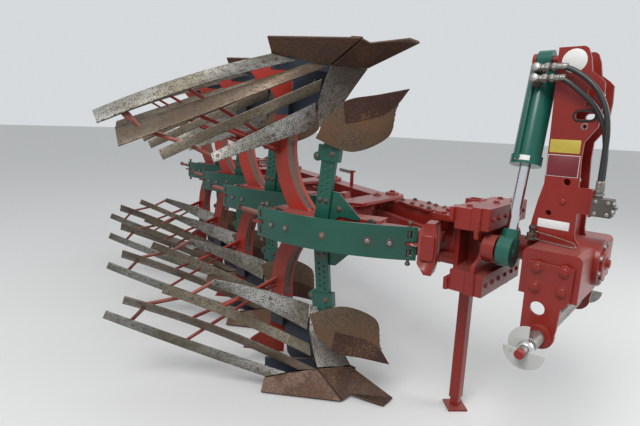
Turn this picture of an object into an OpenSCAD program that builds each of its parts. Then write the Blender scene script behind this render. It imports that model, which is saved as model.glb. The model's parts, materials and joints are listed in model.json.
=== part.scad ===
// Reversible mouldboard plough, four furrows, slatted mouldboards, leaf spring legs.
// Millimetres. X points the way it travels, Y to the left, Z up from the ground.
// Places are measured from the middle of the hitch cross shaft, on the turnover axis.

/* [Stance] */
// Height of the turnover axis above the ground
axis_h = 966; // [940:1:1000]
// Height of the lower hitch pins above the ground
hitch_h = 686; // [670:1:700]
// Way along X from one body to the next
step_x = 850; // [830:5:900]
// Way across Y from one body to the next, the furrow width
step_y = 405; // [380:5:420]

/* [Slatted mouldboard] */
// Thickness of a slat
slat_t = 10; // [8:1:12]
// Number of steps along a slat
slat_steps = 10; // [6:1:12]
// Thickness of the share and its point
share_t = 12; // [8:1:14]
// Thickness of the skimmer board
skim_t = 8; // [6:1:10]
// Radius of the stay rods behind the slats
stay_r = 10; // [8:1:12]
// Radius of the bosses that carry slats and shares
boss_r = 10; // [8:1:11]

/* [Leaf spring] */
// Chord length of the green main leaf
leaf_l = 906; // [880:1:915]
// Height of the leaves
leaf_h = 164; // [140:1:170]
// Thickness of the main leaf
leaf_t = 16; // [12:1:18]
// Bow of the main leaf in plan
leaf_sag = 100; // [90:1:110]
// Thickness of each inner leaf
inner_t = 14; // [10:1:15]
// Number of inner leaves
inner_n = 3; // [2:1:3]

/* [Leg] */
// Depth of a leg along the way of travel
leg_d = 105; // [90:1:110]
// Width of a leg across
leg_w = 80; // [70:1:84]
// Radius of the curve of a leg, at its middle
leg_r = 505; // [480:5:560]
// Height above or below the axis at which a leg ends
leg_end = 440; // [430:1:445]
// Width of the groove in a leg's front
groove_w = 26; // [16:1:34]
// Depth of the groove
groove_d = 8; // [3:1:14]
// Half height of the bar that carries the legs
bar_half_h = 70; // [60:1:74]

/* [Skimmer] */
// Width of a skimmer's stalk
stalk_w = 80; // [60:1:84]
// Depth of the stalk
stalk_d = 28; // [20:1:32]
// Radius of the holes in the stalk
stalk_hole_r = 7; // [5:1:9]
// Number of holes in each of its two rows
stalk_holes = 5; // [3:1:5]

/* [Beam] */
// Width of the main beam
beam_w = 130; // [110:1:140]
// Height of the main beam
beam_h = 180; // [160:1:184]
// Thickness of the plates that clasp the beam
clasp_t = 20; // [14:1:24]
// Gap between the beam and the plates that clasp it
clasp_gap = 2; // [1:0.5:4]
// Radius of the beam's front pivot pin
beam_pin_r = 40; // [30:1:45]
// Radius of a carriage's pivot pin
carriage_pin_r = 30; // [24:1:36]
// Radius of the pins of the tie bar
tie_pin_r = 16; // [12:1:18]
// Width of the tie bar
tie_w = 36; // [30:1:40]
// Height of the tie bar
tie_h = 50; // [40:1:60]

/* [Headstock] */
// Radius of the turnover shaft
shaft_r = 60; // [50:1:64]
// Radius of the housing that the shaft turns in
housing_r = 104; // [90:1:108]
// Radius of the lower hitch pins, 36.5 mm across
hitch_pin_r = 18.25; // [14:0.05:20]
// Radius of the cross shaft between them
cross_r = 30; // [26:1:34]
// Radius of the hitch balls
ball_r = 32; // [28:1:34]
// Way from the middle to each hitch ball
ball_y = 480; // [470:1:500]
// Radius of the guide plates beside the balls
cup_r = 78; // [60:1:90]
// Radius of the top link's pin, 31.8 mm across
top_pin_r = 15.9; // [12.5:0.05:16]
// Thickness of the mast's side plates
mast_t = 18; // [14:1:22]
// Half of the mast's width
mast_half = 100; // [90:1:110]
// Height of the top link's pin above the ground
top_link_h = 1683; // [1660:1:1700]
// Way from the top link's pin up to the cylinder's pin
cyl_pin_rise = 147; // [130:1:150]
// Half of the width of the base box, over its sides
base_half = 300; // [290:1:310]
// Thickness of the base box's walls
base_wall = 18; // [12:1:24]
// Thickness of the bolted side plates
side_t = 20; // [16:1:24]

/* [Turnover cylinder] */
// Radius of the barrel
barrel_r = 60; // [52:1:62]
// Wall of the barrel
barrel_wall = 10; // [6:1:12]
// Radius of the rod
rod_r = 24; // [20:1:28]
// Radius of the crank
crank_r = 220; // [210:1:225]
// Thickness of the crank
crank_t = 58; // [40:1:58]
// Radius of the pins at both ends of the cylinder
cyl_pin_r = 20; // [16:1:24]
// Radius of the eye at the rod's end
eye_r = 70; // [60:1:72]
// Width of the eyes at both ends
eye_w = 60; // [50:1:62]
// Radius of the two hoses
hose_r = 11; // [8:1:12]

/* [Parking stand] */
// Side of the stand's square leg
stand_w = 56; // [44:1:56]
// Side of the square tube that carries its foot
stand_inner_w = 44; // [34:1:44]
// Half of the foot plate's diagonal
foot_half = 75; // [60:1:80]

/* [Hidden] */
BODY_PARTS = ["carrier", "leaf", "inner_leaves", "legs", "frogs", "slats", "shares", "stalks",
              "skimmers"];
$fn = 48;

// Clearances: of a running pin, between resting faces and for a sliding fit
run_gap = 0.1;
seat_gap = 0.3;
slide_gap = 0.4;
// How far a cutting solid reaches past what it cuts
past = 5;

// Middle of the part's box on the ground, measured from the hitch cross shaft
origin_x = -2205;
origin_y = 170;

// Tip of the first body's share
tip = [-735, -250];
// Front pivot of the beam and the offset of the tie bar's pins from the beam's
beam_pivot = [-560, 20];
tie_offset = [-30, -130];
beam_slope = atan2(step_y, -step_x);
beam_step = norm([step_x, step_y]);
// Way along the beam to the first carriage's pin, its place, and the beam's length
first_pin_s = 653;
beam_dir = [cos(beam_slope), sin(beam_slope)];
first_pin = beam_pivot + first_pin_s * beam_dir;
beam_end_s = first_pin_s + 3 * beam_step + 150;

// Level of the plates that clasp the beam, above the axis
clasp_z = beam_h / 2 + clasp_gap;

// Leaf spring arc, its middle from the share's tip and its turn in plan
leaf_r = leaf_l * leaf_l / (8 * leaf_sag) + leaf_sag / 2;
leaf_half_a = asin(leaf_l / 2 / leaf_r);
leaf_end = leaf_l / 2;
leaf_mid = [-276, -230];
leaf_angle = 15.35;

// Leg: its place from the share's tip and the height of the rearmost point of its curve
leg_y = -140;
leg_top_x = -716;
leg_apex = 430;
frog_top = axis_h - leg_end - seat_gap;

// Headstock levels
base_top = axis_h + 75;
base_low = axis_h - 121;
base_rear = -109;
base_front = 118;
cyl_pin_h = top_link_h + cyl_pin_rise;
mast_top = cyl_pin_h + 37;

// Turnover cylinder: its plane, its crank pin and its length and lean at rest
cyl_x = -200;
crank_dz = 20;
crank_y = -sqrt(crank_r * crank_r - crank_dz * crank_dz);
cyl_rise = cyl_pin_h - axis_h - crank_dz;
cyl_len = norm([crank_y, cyl_rise]);
cyl_tilt = atan2(-crank_y, cyl_rise);
barrel_low = 480;
barrel_top = 50;

// Turning head: its rails and its place along X, the stand's place
head_rear = -425;
crank_rear = -300;
cheek_t = 20;
rail_in = 98;
rail_out = 204;
rail_far = 200;
stand_x = -457;

red = [0.62, 0.11, 0.09];
green = [0.05, 0.38, 0.30];
steel = [0.55, 0.52, 0.47];
dark = [0.10, 0.12, 0.17];
bright = [0.80, 0.82, 0.85];
white = [0.85, 0.85, 0.83];
rubber = [0.05, 0.05, 0.05];

// Bodies: each step back and across
function row(i) = [-i * step_x, i * step_y, 0];

module place() { translate([-origin_x, -origin_y, 0]) children(); }
module at_body(i) { translate([tip[0], tip[1], 0] + row(i)) children(); }
module at_pin(i) { translate([first_pin[0], first_pin[1], axis_h] + row(i)) children(); }
module both_sides() {
    children();
    translate([0, 0, 2 * axis_h]) mirror([0, 0, 1]) children();
}
module up_and_down() {
    for (m = [0, 1]) mirror([0, 0, m]) children();
}
module leaf_frame(i) {
    at_body(i) translate([leaf_mid[0], leaf_mid[1], axis_h]) rotate([0, 0, leaf_angle]) children();
}
// A cylinder along X or along Y, centred across the axis
module x_rod(r, x0, x1) { translate([x0, 0, 0]) rotate([0, 90, 0]) cylinder(r = r, h = x1 - x0); }
module y_rod(r, y0, y1) { translate([0, y1, 0]) rotate([90, 0, 0]) cylinder(r = r, h = y1 - y0); }
// A block between two corners
module block(a, b) { translate(a) cube(b - a); }
// A plate in the XZ plane between two places on Y, and one in the YZ plane between two places on X
module xz_plate(y0, y1) { translate([0, y1, 0]) rotate([90, 0, 0]) linear_extrude(y1 - y0) children(); }
module yz_plate(x0, x1) {
    translate([x0, 0, 0]) rotate([90, 0, 90]) linear_extrude(x1 - x0) children();
}
// A twelve sided bar from one point to another
module bar(p, q, r) {
    d = q - p;
    translate(p) rotate([0, acos(d[2] / norm(d)), atan2(d[1], d[0])]) cylinder(r = r, h = norm(d), $fn = 12);
}

// Curved sheets: a grid of points in rows, thickened behind its front face
function bezier(a, b, c, t) = (1 - t) * (1 - t) * a + 2 * t * (1 - t) * b + t * t * c;
function unit(v) = v / norm(v);
function across(g, i, j) =
    let(n = len(g) - 1, m = len(g[0]) - 1,
        du = g[min(i + 1, n)][j] - g[max(i - 1, 0)][j],
        dv = g[i][min(j + 1, m)] - g[i][max(j - 1, 0)])
    unit(cross(du, dv));
function behind(g, i, j, t) =
    let(p = g[i][j] - t * across(g, i, j)) [p[0], p[1], max(0, p[2])];

module sheet(g, t) {
    n = len(g);
    m = len(g[0]);
    front = [for (r = g) each r];
    back = [for (i = [0:n - 1], j = [0:m - 1]) behind(g, i, j, t)];
    o = n * m;
    faces = concat(
        [for (i = [0:n - 2], j = [0:m - 2]) each [
            [i * m + j, i * m + j + 1, (i + 1) * m + j],
            [i * m + j + 1, (i + 1) * m + j + 1, (i + 1) * m + j]]],
        [for (i = [0:n - 2], j = [0:m - 2]) each [
            [o + i * m + j, o + (i + 1) * m + j, o + i * m + j + 1],
            [o + i * m + j + 1, o + (i + 1) * m + j, o + (i + 1) * m + j + 1]]],
        [for (i = [0:n - 2]) each [
            [i * m, (i + 1) * m, o + i * m], [(i + 1) * m, o + (i + 1) * m, o + i * m],
            [i * m + m - 1, o + i * m + m - 1, (i + 1) * m + m - 1],
            [(i + 1) * m + m - 1, o + i * m + m - 1, o + (i + 1) * m + m - 1]]],
        [for (j = [0:m - 2]) each [
            [j, o + j, j + 1], [j + 1, o + j, o + j + 1],
            [(n - 1) * m + j, (n - 1) * m + j + 1, o + (n - 1) * m + j],
            [(n - 1) * m + j + 1, o + (n - 1) * m + j + 1, o + (n - 1) * m + j]]]);
    polyhedron(points = concat(front, back), faces = faces);
}
// A facet of a sheet, on the grid's own side or at the depth t of its other side, the way out
// of it there, and the place of a seat that lies just clear of its middle
function facet(g, i, j, t) =
    [for (p = [[i, j], [i, j + 1], [i + 1, j]]) t == 0 ? g[p[0]][p[1]] : behind(g, p[0], p[1], t)];
function facet_out(g, i, j, t) =
    let(f = facet(g, i, j, t)) (t == 0 ? 1 : -1) * unit(cross(f[2] - f[0], f[1] - f[0]));
function seat(g, i, j, t) =
    let(f = facet(g, i, j, t)) (f[0] + f[1] + f[2]) / 3 + seat_gap * facet_out(g, i, j, t);
function off_seat(g, i, j, t, reach) = seat(g, i, j, t) + reach * facet_out(g, i, j, t);
// A boss that stands on a facet's seat, and a bar from it to what carries it
module boss(g, i, j, t, to, r = boss_r) {
    bar(seat(g, i, j, t), off_seat(g, i, j, t, boss_l), boss_r);
    bar(off_seat(g, i, j, t, boss_l - 2), to, r);
}
boss_l = 30;

// Slats, measured from the share's tip: lower and upper corner at the front, then at the rear,
// and how far the middle bows back, across and down
SLATS = [
    // front low, front top, rear low, rear top, bow
    [[-584, -388, 84], [-498, -304, 112], [-1272, -985, 404], [-1206, -994, 466], [-38, 24, -26]],
    [[-460, -244, 120], [-382, -181, 131], [-1214, -898, 484], [-1076, -951, 575], [-50, 38, 2]],
    [[-423, -184, 191], [-455, -165, 252], [-966, -800, 586], [-944, -787, 635], [-46, 28, 0]],
    [[-510, -130, 308], [-553, -68, 441], [-860, -560, 603], [-820, -563, 646], [-28, 23, 0]]];
function slat_grid(s) =
    [for (i = [0:slat_steps]) let(u = i / slat_steps)
        [for (j = [0, 1]) bezier(s[j], (s[j] + s[j + 2]) / 2 + 2 * s[4], s[j + 2], u)]];
// Step of each slat that a stay reaches, and where the boss of its front end stands on the frog
STAY_AT = [5, 6, 6, 6];
FRONT_TO = [[-637, -313, 100], [-511, -193, 125], [-536, -98, 185], [-580, -108, 350]];

// Shin: inner edge at the land side, outer edge beside the slats
SHIN = [
    // inner edge, outer edge
    [[-262, -8, 134], [-381, -168, 134]],
    [[-318, -12, 200], [-430, -152, 200]],
    [[-398, -26, 308], [-490, -128, 308]],
    [[-484, -42, 441], [-552, -60, 436]]];
module slats(i) {
    color(steel) at_body(i) both_sides() {
        for (s = SLATS) sheet(slat_grid(s), slat_t);
        sheet(SHIN, slat_t);
    }
}

// Share: its upper edge and the cutting edge on the ground; then the point that covers its tip
SHARE = [
    // upper edge, edge on the ground
    [[-595, -372, 78], [-573, -426, 6]],
    [[-470, -262, 104], [-383, -301, 6]],
    [[-385, -172, 122], [-190, -175, 6]]];
POINT = [
    // left side, right side
    [[-376, -168, 124], [-190, -168, 8]],
    [[-262, -8, 122], [-186, -104, 20]],
    [[-4, 50, 6], [2, -49, 6]]];
landside_y = 30;
landside_l = 300;
landside_rear = -560;
landside_h = 100;
module shares(i) {
    color(steel) at_body(i) both_sides() {
        sheet(SHARE, share_t);
        sheet(POINT, share_t);
        block([landside_rear, landside_y, 2],
              [landside_rear + landside_l, landside_y + share_t, 2 + landside_h]);
    }
}

// Where the bosses of the shin, the point and the share stand on the frog
SHIN_TO = [[-366, -58, 100], [-461, -80, 215], [-555, -102, 330]];
POINT_TO = [-320, -80, 52];
SHARE_TO = [[-608, -285, 60], [-485, -168, 70]];
// Frog: the plate behind the shin, the wing behind the share, and the bosses that carry the slats
FROG = [[30, 300], [30, 500], [105, 430], [200, 309], [375, 126], [385, 40], [150, 20], [60, 120]];
frog_half = 14;
frog_turn = 13.2;
wing_turn = 223.6;
module frogs(i) {
    color(dark) at_body(i) both_sides() {
        block([leg_top_x - leg_d / 2, leg_y - leg_w / 2, 300],
              [leg_top_x + leg_d / 2, leg_y + leg_w / 2, frog_top]);
        translate([leg_top_x, leg_y, 0]) rotate([0, 0, frog_turn]) xz_plate(-frog_half, frog_half)
            polygon(FROG);
        block([-500, -100, 40], [-330, landside_y - seat_gap, 95]);
        block([-340, -118, 30], [-290, landside_y - seat_gap, 66]);
        translate([-402, -89, 40]) rotate([0, 0, wing_turn]) block([0, -12, 0], [345, 12, 112]);
        for (k = [0:3]) boss(slat_grid(SLATS[k]), 0, 0, 0, FRONT_TO[k]);
        for (k = [0:2]) boss(SHIN, k, 0, slat_t, SHIN_TO[k]);
        boss(POINT, 0, 0, 0, POINT_TO);
        for (k = [0, 1]) boss(SHARE, k, 0, 0, SHARE_TO[k]);
    }
}

// Legs: a curved bar on each side of the carrier, with stays out to the slats
leg_cx = leg_top_x + leg_r;
module legs(i) {
    a0 = 180 - 2;
    a1 = 180 + asin((leg_apex - bar_half_h) / leg_r) + 12;
    color(red) at_body(i) {
        both_sides() translate([0, leg_y, axis_h]) intersection() {
            translate([leg_cx, 0, leg_apex]) rotate([90, 0, 0]) difference() {
                rotate([0, 0, a0]) rotate_extrude(angle = a1 - a0)
                    translate([leg_r - leg_d / 2, -leg_w / 2]) square([leg_d, leg_w]);
                rotate([0, 0, a0 - 2]) rotate_extrude(angle = a1 - a0 + 4)
                    translate([leg_r - leg_d / 2 - 1, -groove_w / 2]) square([groove_d + 1, groove_w]);
            }
            translate([-900, -leg_w, bar_half_h]) cube([700, 2 * leg_w, leg_end - bar_half_h]);
        }
        both_sides() for (k = [0:3]) let(g = slat_grid(SLATS[k])) {
            boss(g, STAY_AT[k], 0, 0, [leg_top_x - 5, leg_y, axis_h - leg_end + 40 + 12 * k], stay_r);
        }
    }
}

// Leaves: bent about a centre behind them; an arc between two angles from the middle
module leaf_arc(r_out, t, from, to, h) {
    translate([0, leaf_r - leaf_sag, 0]) rotate([0, 0, -90 + from]) rotate_extrude(angle = to - from)
        translate([r_out - t, -h / 2]) square([t, h]);
}
slot_w = 20;
slot_h = 36;
slot_z = 46;
notch_h = 18;
notch_l = 50;
module leaf(i) {
    color(green) leaf_frame(i) difference() {
        leaf_arc(leaf_r, leaf_t, -leaf_half_a, leaf_half_a, leaf_h);
        for (e = [-1, 1]) {
            for (z = [-1, 1]) translate([e * (leaf_end - 34), 0, z * slot_z])
                cube([slot_w, 2 * leaf_sag, slot_h], center = true);
            translate([e * leaf_end, 0, 0]) cube([2 * notch_l, 2 * leaf_sag, notch_h], center = true);
        }
    }
}
module inner_leaves(i) {
    color(red) leaf_frame(i) for (k = [0:inner_n - 1]) let(a = leaf_half_a - 3 - 2.5 * k)
        leaf_arc(leaf_r - leaf_t - seat_gap - k * (inner_t + seat_gap), inner_t, -a, a, leaf_h - 24);
}

// Carrier: clasps the beam, holds both ends of the leaves, the stalks and both legs
ARM = [[-75, 0], [75, 0], [96, -240], [110, -480], [-40, -560], [-60, -300]];
bar_v = [80, 200];
bar_u = [-400, 240];
stalk_v = 40;
stalk_u = -85;
arm_half_h = 60;
module carrier(i) {
    color(red) {
        both_sides() at_pin(i) translate([0, 0, clasp_z]) linear_extrude(clasp_t) {
            circle(r = 75);
            polygon(ARM);
        }
        at_pin(i) cylinder(r = carriage_pin_r, h = 2 * clasp_z + 2, center = true);
        at_pin(i) translate([tie_offset[0], tie_offset[1], 0])
            cylinder(r = tie_pin_r, h = 2 * clasp_z + 2, center = true);
        at_pin(i) block([-30, -640, -clasp_z - 1], [70, -320, clasp_z + 1]);
        leaf_frame(i) {
            block([bar_u[0], bar_v[0], -bar_half_h], [bar_u[1], bar_v[1], bar_half_h]);
            block([stalk_u - 50, stalk_v + stalk_d + seat_gap, -bar_half_h], [160, bar_v[0], bar_half_h]);
            block([bar_u[1] - 10, 60, -arm_half_h], [leaf_end - 20, 110, arm_half_h]);
            for (e = [-1, 1]) {
                leaf_clamp(e);
                block([min(e * (leaf_end - 45), e * (leaf_end + 18)), -26, -notch_h / 2 + 3],
                      [max(e * (leaf_end - 45), e * (leaf_end + 18)), 60, notch_h / 2 - 3]);
            }
            block([leaf_end - 30, 20, -arm_half_h], [leaf_end + 32, 100, arm_half_h]);
            block([-leaf_end + 10, 24, -arm_half_h], [bar_u[0] + 12, 110, arm_half_h]);
            translate([leaf_end + 17, 0, 0]) housing();
        }
    }
}
// Pad that hugs the back of the main leaf near one end
module leaf_clamp(e) {
    from = e > 0 ? leaf_half_a - 2.6 : -leaf_half_a + 0.2;
    leaf_arc(leaf_r - leaf_t - seat_gap, 30, from, from + 2.4, 2 * arm_half_h);
}
// Faceted end housing of the leaf pack
HOUSING = [[0, -80], [35, -130], [70, -130], [85, -60], [85, 60], [70, 118], [30, 118], [0, 80]];
module housing() { xz_plate(-50, 40) polygon(HOUSING); }

// Skimmers: a stalk with rows of holes, a bracket beside it and a casting at its end
stalk_lean = 5.5;
stalk_end = axis_h - 556;
BRACKET = [[0, 16], [0, 205], [40, 205], [172, 98], [172, 82], [60, 82]];
module stalks(i) {
    color(green) leaf_frame(i) up_and_down() {
        translate([stalk_u, stalk_v, 0]) rotate([0, stalk_lean, 0]) difference() {
            union() {
                block([-stalk_w / 2, 0, 12], [stalk_w / 2, stalk_d, stalk_end]);
                xz_plate(stalk_d - 12, stalk_d) translate([stalk_w / 2 - 4, 0]) polygon(BRACKET);
                block([-62, -8, stalk_end - 50], [58, stalk_d + 8, stalk_end + 30]);
                translate([0, 0, stalk_end + 30]) y_rod(34, -8, stalk_d + 8);
                translate([-62, 0, stalk_end - 34]) y_rod(24, -6, stalk_d + 6);
            }
            for (k = [0:stalk_holes - 1], e = [-1, 1])
                translate([e * 14, 0, 200 + 32 * k + 8 * e]) y_rod(stalk_hole_r, -past, stalk_d + past);
        }
    }
    color(green) at_body(i) both_sides() let(g = skim_grid(), from = off_seat(g, skim_seat, 1, 0, 26)) {
        bar(seat(g, skim_seat, 1, 0), from, 14);
        bar(from, skim_root, 22);
    }
}
// Where the skimmer's arm leaves the stalk's end, and the step of the board that it carries
skim_root = [-336, -192, axis_h - stalk_end];
skim_seat = 7;
// Skimmer: edge that cuts, joint of share and board, upper edge, from the tip back
SKIMMER = [
    // edge, joint, middle of the board, upper edge
    [[-11, 2, 234], [-45, -14, 290], [-62, -21, 319], [-79, -27, 348]],
    [[-121, -105, 269], [-112, -66, 350], [-104, -38, 414], [-106, -16, 470]],
    [[-231, -212, 304], [-226, -194, 400], [-220, -178, 480], [-217, -160, 552]],
    [[-330, -262, 400], [-340, -267, 432], [-352, -268, 462], [-372, -268, 491]]];
function spline(a, b, c, d, t) =
    0.5 * (2 * b + (c - a) * t + (2 * a - 5 * b + 4 * c - d) * t * t + (3 * b - a - 3 * c + d) * t * t * t);
function skim_grid() = [for (k = [0:2], t = [0, 1 / 3, 2 / 3, 1]) if (t < 1 || k == 2)
    [for (j = [0:3]) spline(SKIMMER[max(k - 1, 0)][j], SKIMMER[k][j], SKIMMER[k + 1][j],
                            SKIMMER[min(k + 2, 3)][j], t)]];
module skimmers(i) { color(steel) at_body(i) both_sides() sheet(skim_grid(), skim_t); }

// Main beam and what lies along it
PIN_S = [for (k = [0:3]) first_pin_s + k * beam_step];
module along_beam() {
    translate([beam_pivot[0], beam_pivot[1], axis_h]) rotate([0, 0, beam_slope]) children();
}
module beam() {
    color(red) along_beam() difference() {
        union() {
            block([0, -beam_w / 2, -beam_h / 2], [beam_end_s, beam_w / 2, beam_h / 2]);
            cylinder(r = beam_w / 2, h = beam_h, center = true);
        }
        cylinder(r = beam_pin_r + run_gap, h = beam_h + 2, center = true);
        for (s = PIN_S) translate([s, 0, 0])
            cylinder(r = carriage_pin_r + run_gap, h = beam_h + 2, center = true);
    }
}
plate_t = 14;
plate_from = 140;
plate_to = 500;
plate_half = 88;
PLATE = [
    // share of the way from the plate's front to its end, share of its half width
    [0, 0.74], [0.083, 0.966], [0.306, 0.886], [0.528, 1], [0.917, 0.795], [1, 0.227]];
module beam_plates() {
    color(red) along_beam() up_and_down() translate([0, 0, beam_h / 2]) linear_extrude(plate_t)
        polygon(mirrored([for (p = PLATE)
                          [plate_from + p[0] * (plate_to - plate_from), p[1] * plate_half]]));
}
tie_ear_r = 32;
module tie_bar() {
    ears = concat([0], PIN_S);
    color(red) translate([tie_offset[0], tie_offset[1], 0]) along_beam() difference() {
        union() {
            block([0, -tie_w / 2, -tie_h / 2], [PIN_S[3], tie_w / 2, tie_h / 2]);
            for (s = ears) translate([s, 0, 0]) cylinder(r = tie_ear_r, h = tie_h, center = true);
        }
        for (s = ears) translate([s, 0, 0])
            cylinder(r = tie_pin_r + slide_gap, h = tie_h + 2, center = true);
    }
}

// Turning head: shaft, block of rails between two cheeks, and the console that holds the beam
// Rails: rear and front face, place of the near end, inner and outer level
RAILS = [
    // rear, front, near end, inner, outer
    [-425, -352, -300, 98, 198],
    [-350, -308, -296, 98, 206],
    [-306, -272, -286, 104, 206]];
// Cheeks: near edge from the top rail down to the axis
CHEEK = [[-300, 150], [-300, 98], [-292, 62], [-226, 40], [-214, 14]];
REAR_CHEEK = [[-316, 198], [-320, 138], [-226, 136], [-224, 14]];
CONSOLE = [[-640, 20], [-630, -110], [-590, -150], [head_rear + 5, -150], [head_rear + 5, 130],
           [-560, 100]];
console_t = 30;
function mirrored(c) = concat(c, [for (k = [len(c) - 1:-1:0]) [c[k][0], -c[k][1]]]);
module turning_head() {
    color(red) translate([0, 0, axis_h]) difference() {
        union() {
            x_rod(shaft_r, crank_rear - 20, 136);
            up_and_down() {
                for (r = RAILS) block([r[0], r[2], r[3]], [r[1] + 2, rail_far, r[4]]);
                translate([0, 0, clasp_z]) linear_extrude(console_t) {
                    translate(beam_pivot) circle(r = 80);
                    translate(beam_pivot + tie_offset) circle(r = 40);
                    polygon(CONSOLE);
                }
                stand_guide();
            }
            yz_plate(crank_rear - 10 - cheek_t, crank_rear - 10)
                polygon(concat(mirrored(CHEEK), [[rail_far, -150], [rail_far, 150]]));
            yz_plate(head_rear - cheek_t, head_rear) {
                polygon(concat(mirrored(REAR_CHEEK), [[-60, -198], [-60, 198]]));
                polygon([[60, -198], [rail_far, -198], [rail_far, 198], [60, 198]]);
            }
            block([head_rear, -110, -rail_in - 2], [crank_rear - 10, 110, rail_in + 2]);
            translate(beam_pivot) cylinder(r = beam_pin_r, h = 2 * clasp_z + 4, center = true);
            translate(beam_pivot + tie_offset) cylinder(r = tie_pin_r, h = 2 * clasp_z + 4, center = true);
        }
        translate([stand_x, 0, 0])
            cube([stand_w + 2 * slide_gap, stand_w + 2 * slide_gap, 3 * rail_out], center = true);
    }
}
// Sleeve that guides the stand, outside the console
module stand_guide() {
    half = stand_w / 2 + 12;
    block([stand_x - half, -half, clasp_z + console_t - 1], [stand_x + half, half, rail_out]);
}
crank_half = 50;
module crank() {
    x0 = crank_rear;
    x1 = crank_rear + crank_t;
    color(red) translate([0, 0, axis_h]) difference() {
        union() {
            x_rod(95, x0, x1);
            translate([0, crank_y, crank_dz]) x_rod(62, x0, x1);
            block([x0, crank_y, -crank_half], [x1, 0, crank_half + 10]);
        }
        x_rod(shaft_r + run_gap, x0 - past, x1 + past);
    }
}

// Turnover cylinder: hangs at the mast's top, its rod folds into the barrel
module cylinder_frame() { translate([cyl_x, 0, cyl_pin_h]) rotate([-cyl_tilt, 0, 0]) children(); }
// Ports: their place from the barrel's axis, levels below the top pin, and where their elbows end
port_y = -117;
PORTS = [-77, -124];
elbow_end = -118;
collar_h = 42;
bore_l = 340;
module barrel() {
    color(green) cylinder_frame() difference() {
        union() {
            x_rod(44, -eye_w / 2, eye_w / 2);
            block([-eye_w / 2, -34, -barrel_top - 10], [eye_w / 2, 34, 0]);
            translate([0, 0, -barrel_low]) cylinder(r = barrel_r, h = barrel_low - barrel_top);
            translate([0, 0, -barrel_low]) cylinder(r = barrel_r + 7, h = collar_h);
            for (z = PORTS) translate([0, 0, z]) {
                y_rod(16, port_y - 14, -barrel_r + 5);
                translate([0, port_y, 0]) x_rod(11, 0, elbow_end - cyl_x);
            }
            translate([-20, -barrel_r - 5, 0]) {
                translate([0, 0, -barrel_low + 20]) cylinder(r = 8, h = barrel_low + PORTS[1] - 20);
                translate([0, 0, -barrel_low + 26]) y_rod(12, -10, 10);
            }
        }
        x_rod(cyl_pin_r + run_gap, -eye_w, eye_w);
        translate([0, 0, -barrel_low - past]) cylinder(r = rod_r + run_gap, h = 2 * collar_h);
        translate([0, 0, -barrel_low + collar_h]) cylinder(r = barrel_r - barrel_wall, h = bore_l);
    }
}
piston_h = 36;
// The rod starts inside the neck of its eye
rod_start = 45;
neck_r = rod_r + 12;
neck_l = 100;
module rod() {
    color(bright) cylinder_frame() {
        translate([0, 0, -cyl_len + rod_start])
            cylinder(r = rod_r, h = cyl_len - rod_start - barrel_low + collar_h + piston_h);
        translate([0, 0, -barrel_low + collar_h])
            cylinder(r = barrel_r - barrel_wall - run_gap, h = piston_h);
    }
}
module rod_eye() {
    color(green) cylinder_frame() translate([0, 0, -cyl_len]) difference() {
        union() {
            x_rod(eye_r, -eye_w / 2, eye_w / 2);
            cylinder(r = neck_r, h = neck_l);
            x_rod(cyl_pin_r, crank_rear + crank_t + seat_gap - cyl_x, eye_w / 2 + 4);
        }
        cylinder(r = rod_r + run_gap, h = neck_l + 1);
    }
}
module cylinder_pin() {
    color(red) translate([0, 0, cyl_pin_h]) {
        x_rod(cyl_pin_r, cyl_x - eye_w / 2 - 20, -90);
        x_rod(32, cyl_x - eye_w / 2 - 24, cyl_x - eye_w / 2 - 6);
    }
}

// Mast outline in the XZ plane; levels between the base and the top link's pin follow both
top_link_x = 19;
function mast_z(f) = base_top + f * (top_link_h - base_top);
MAST = [[57, mast_z(0)], [44, mast_z(0.02)], [35, mast_z(0.044)], [30, mast_z(0.078)], [29, mast_z(0.173)],
        [15, mast_z(0.567)], [17, mast_z(0.682)], [60, mast_z(0.784)], [66, mast_z(0.95)],
        [62, mast_z(1.06)], [44, mast_z(1.09)], [10, mast_z(1.13)], [0, mast_top - 46],
        [-14, mast_top - 10], [-22, mast_top - 3], [-30, mast_top], [-127, mast_top],
        [-119, mast_z(0.723)], [-117, mast_z(0.393)], [-135, mast_z(0.265)], [-149, mast_z(0.125)],
        [-157, mast_z(0)]];
// Round holes through both plates
MAST_HOLES = [
    // x, level, radius
    [6, 0.928, 8], [10, 0.784, 9], [-27, 0.416, 15], [-84, 0.195, 12]];
web_t = 18;
web_x = -116;
module rounded_slot(half, r) {
    for (x = [-half, half]) translate([x, 0]) circle(r = r);
    square([2 * half, 2 * r], center = true);
}
module mast() {
    web_half = mast_half - mast_t + 1;
    color(red) difference() {
        union() {
            for (s = [-1, 1]) translate([0, s * (mast_half - mast_t / 2), 0])
                xz_plate(-mast_t / 2, mast_t / 2) polygon(MAST);
            for (s = [-1, 1]) translate([6, s * mast_half, mast_z(0.852)])
                xz_plate(-4, 4) rounded_slot(22, 22);
            block([web_x, -web_half, base_top], [web_x + web_t, web_half, mast_top - 17]);
            block([0, -web_half, base_top], [14, web_half, mast_z(0.3)]);
            block([10, -mast_half, mast_z(0.216)], [85, -mast_half + 12, mast_z(0.388)]);
            block([80, -155, mast_z(0.216)], [90 - seat_gap, -mast_half + 12, mast_z(0.388)]);
        }
        translate([top_link_x, 0, top_link_h]) y_rod(top_pin_r + run_gap, -150, 150);
        for (h = MAST_HOLES) translate([h[0], 0, mast_z(h[1])]) y_rod(h[2], -150, 150);
        translate([6, 0, mast_z(0.852)]) xz_plate(-150, 150) rounded_slot(22, 15);
        translate([0, 0, cyl_pin_h]) x_rod(cyl_pin_r + run_gap, -150, -50);
        translate([0, 0, axis_h]) x_rod(housing_r + seat_gap, -170, 150);
    }
}

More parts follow.
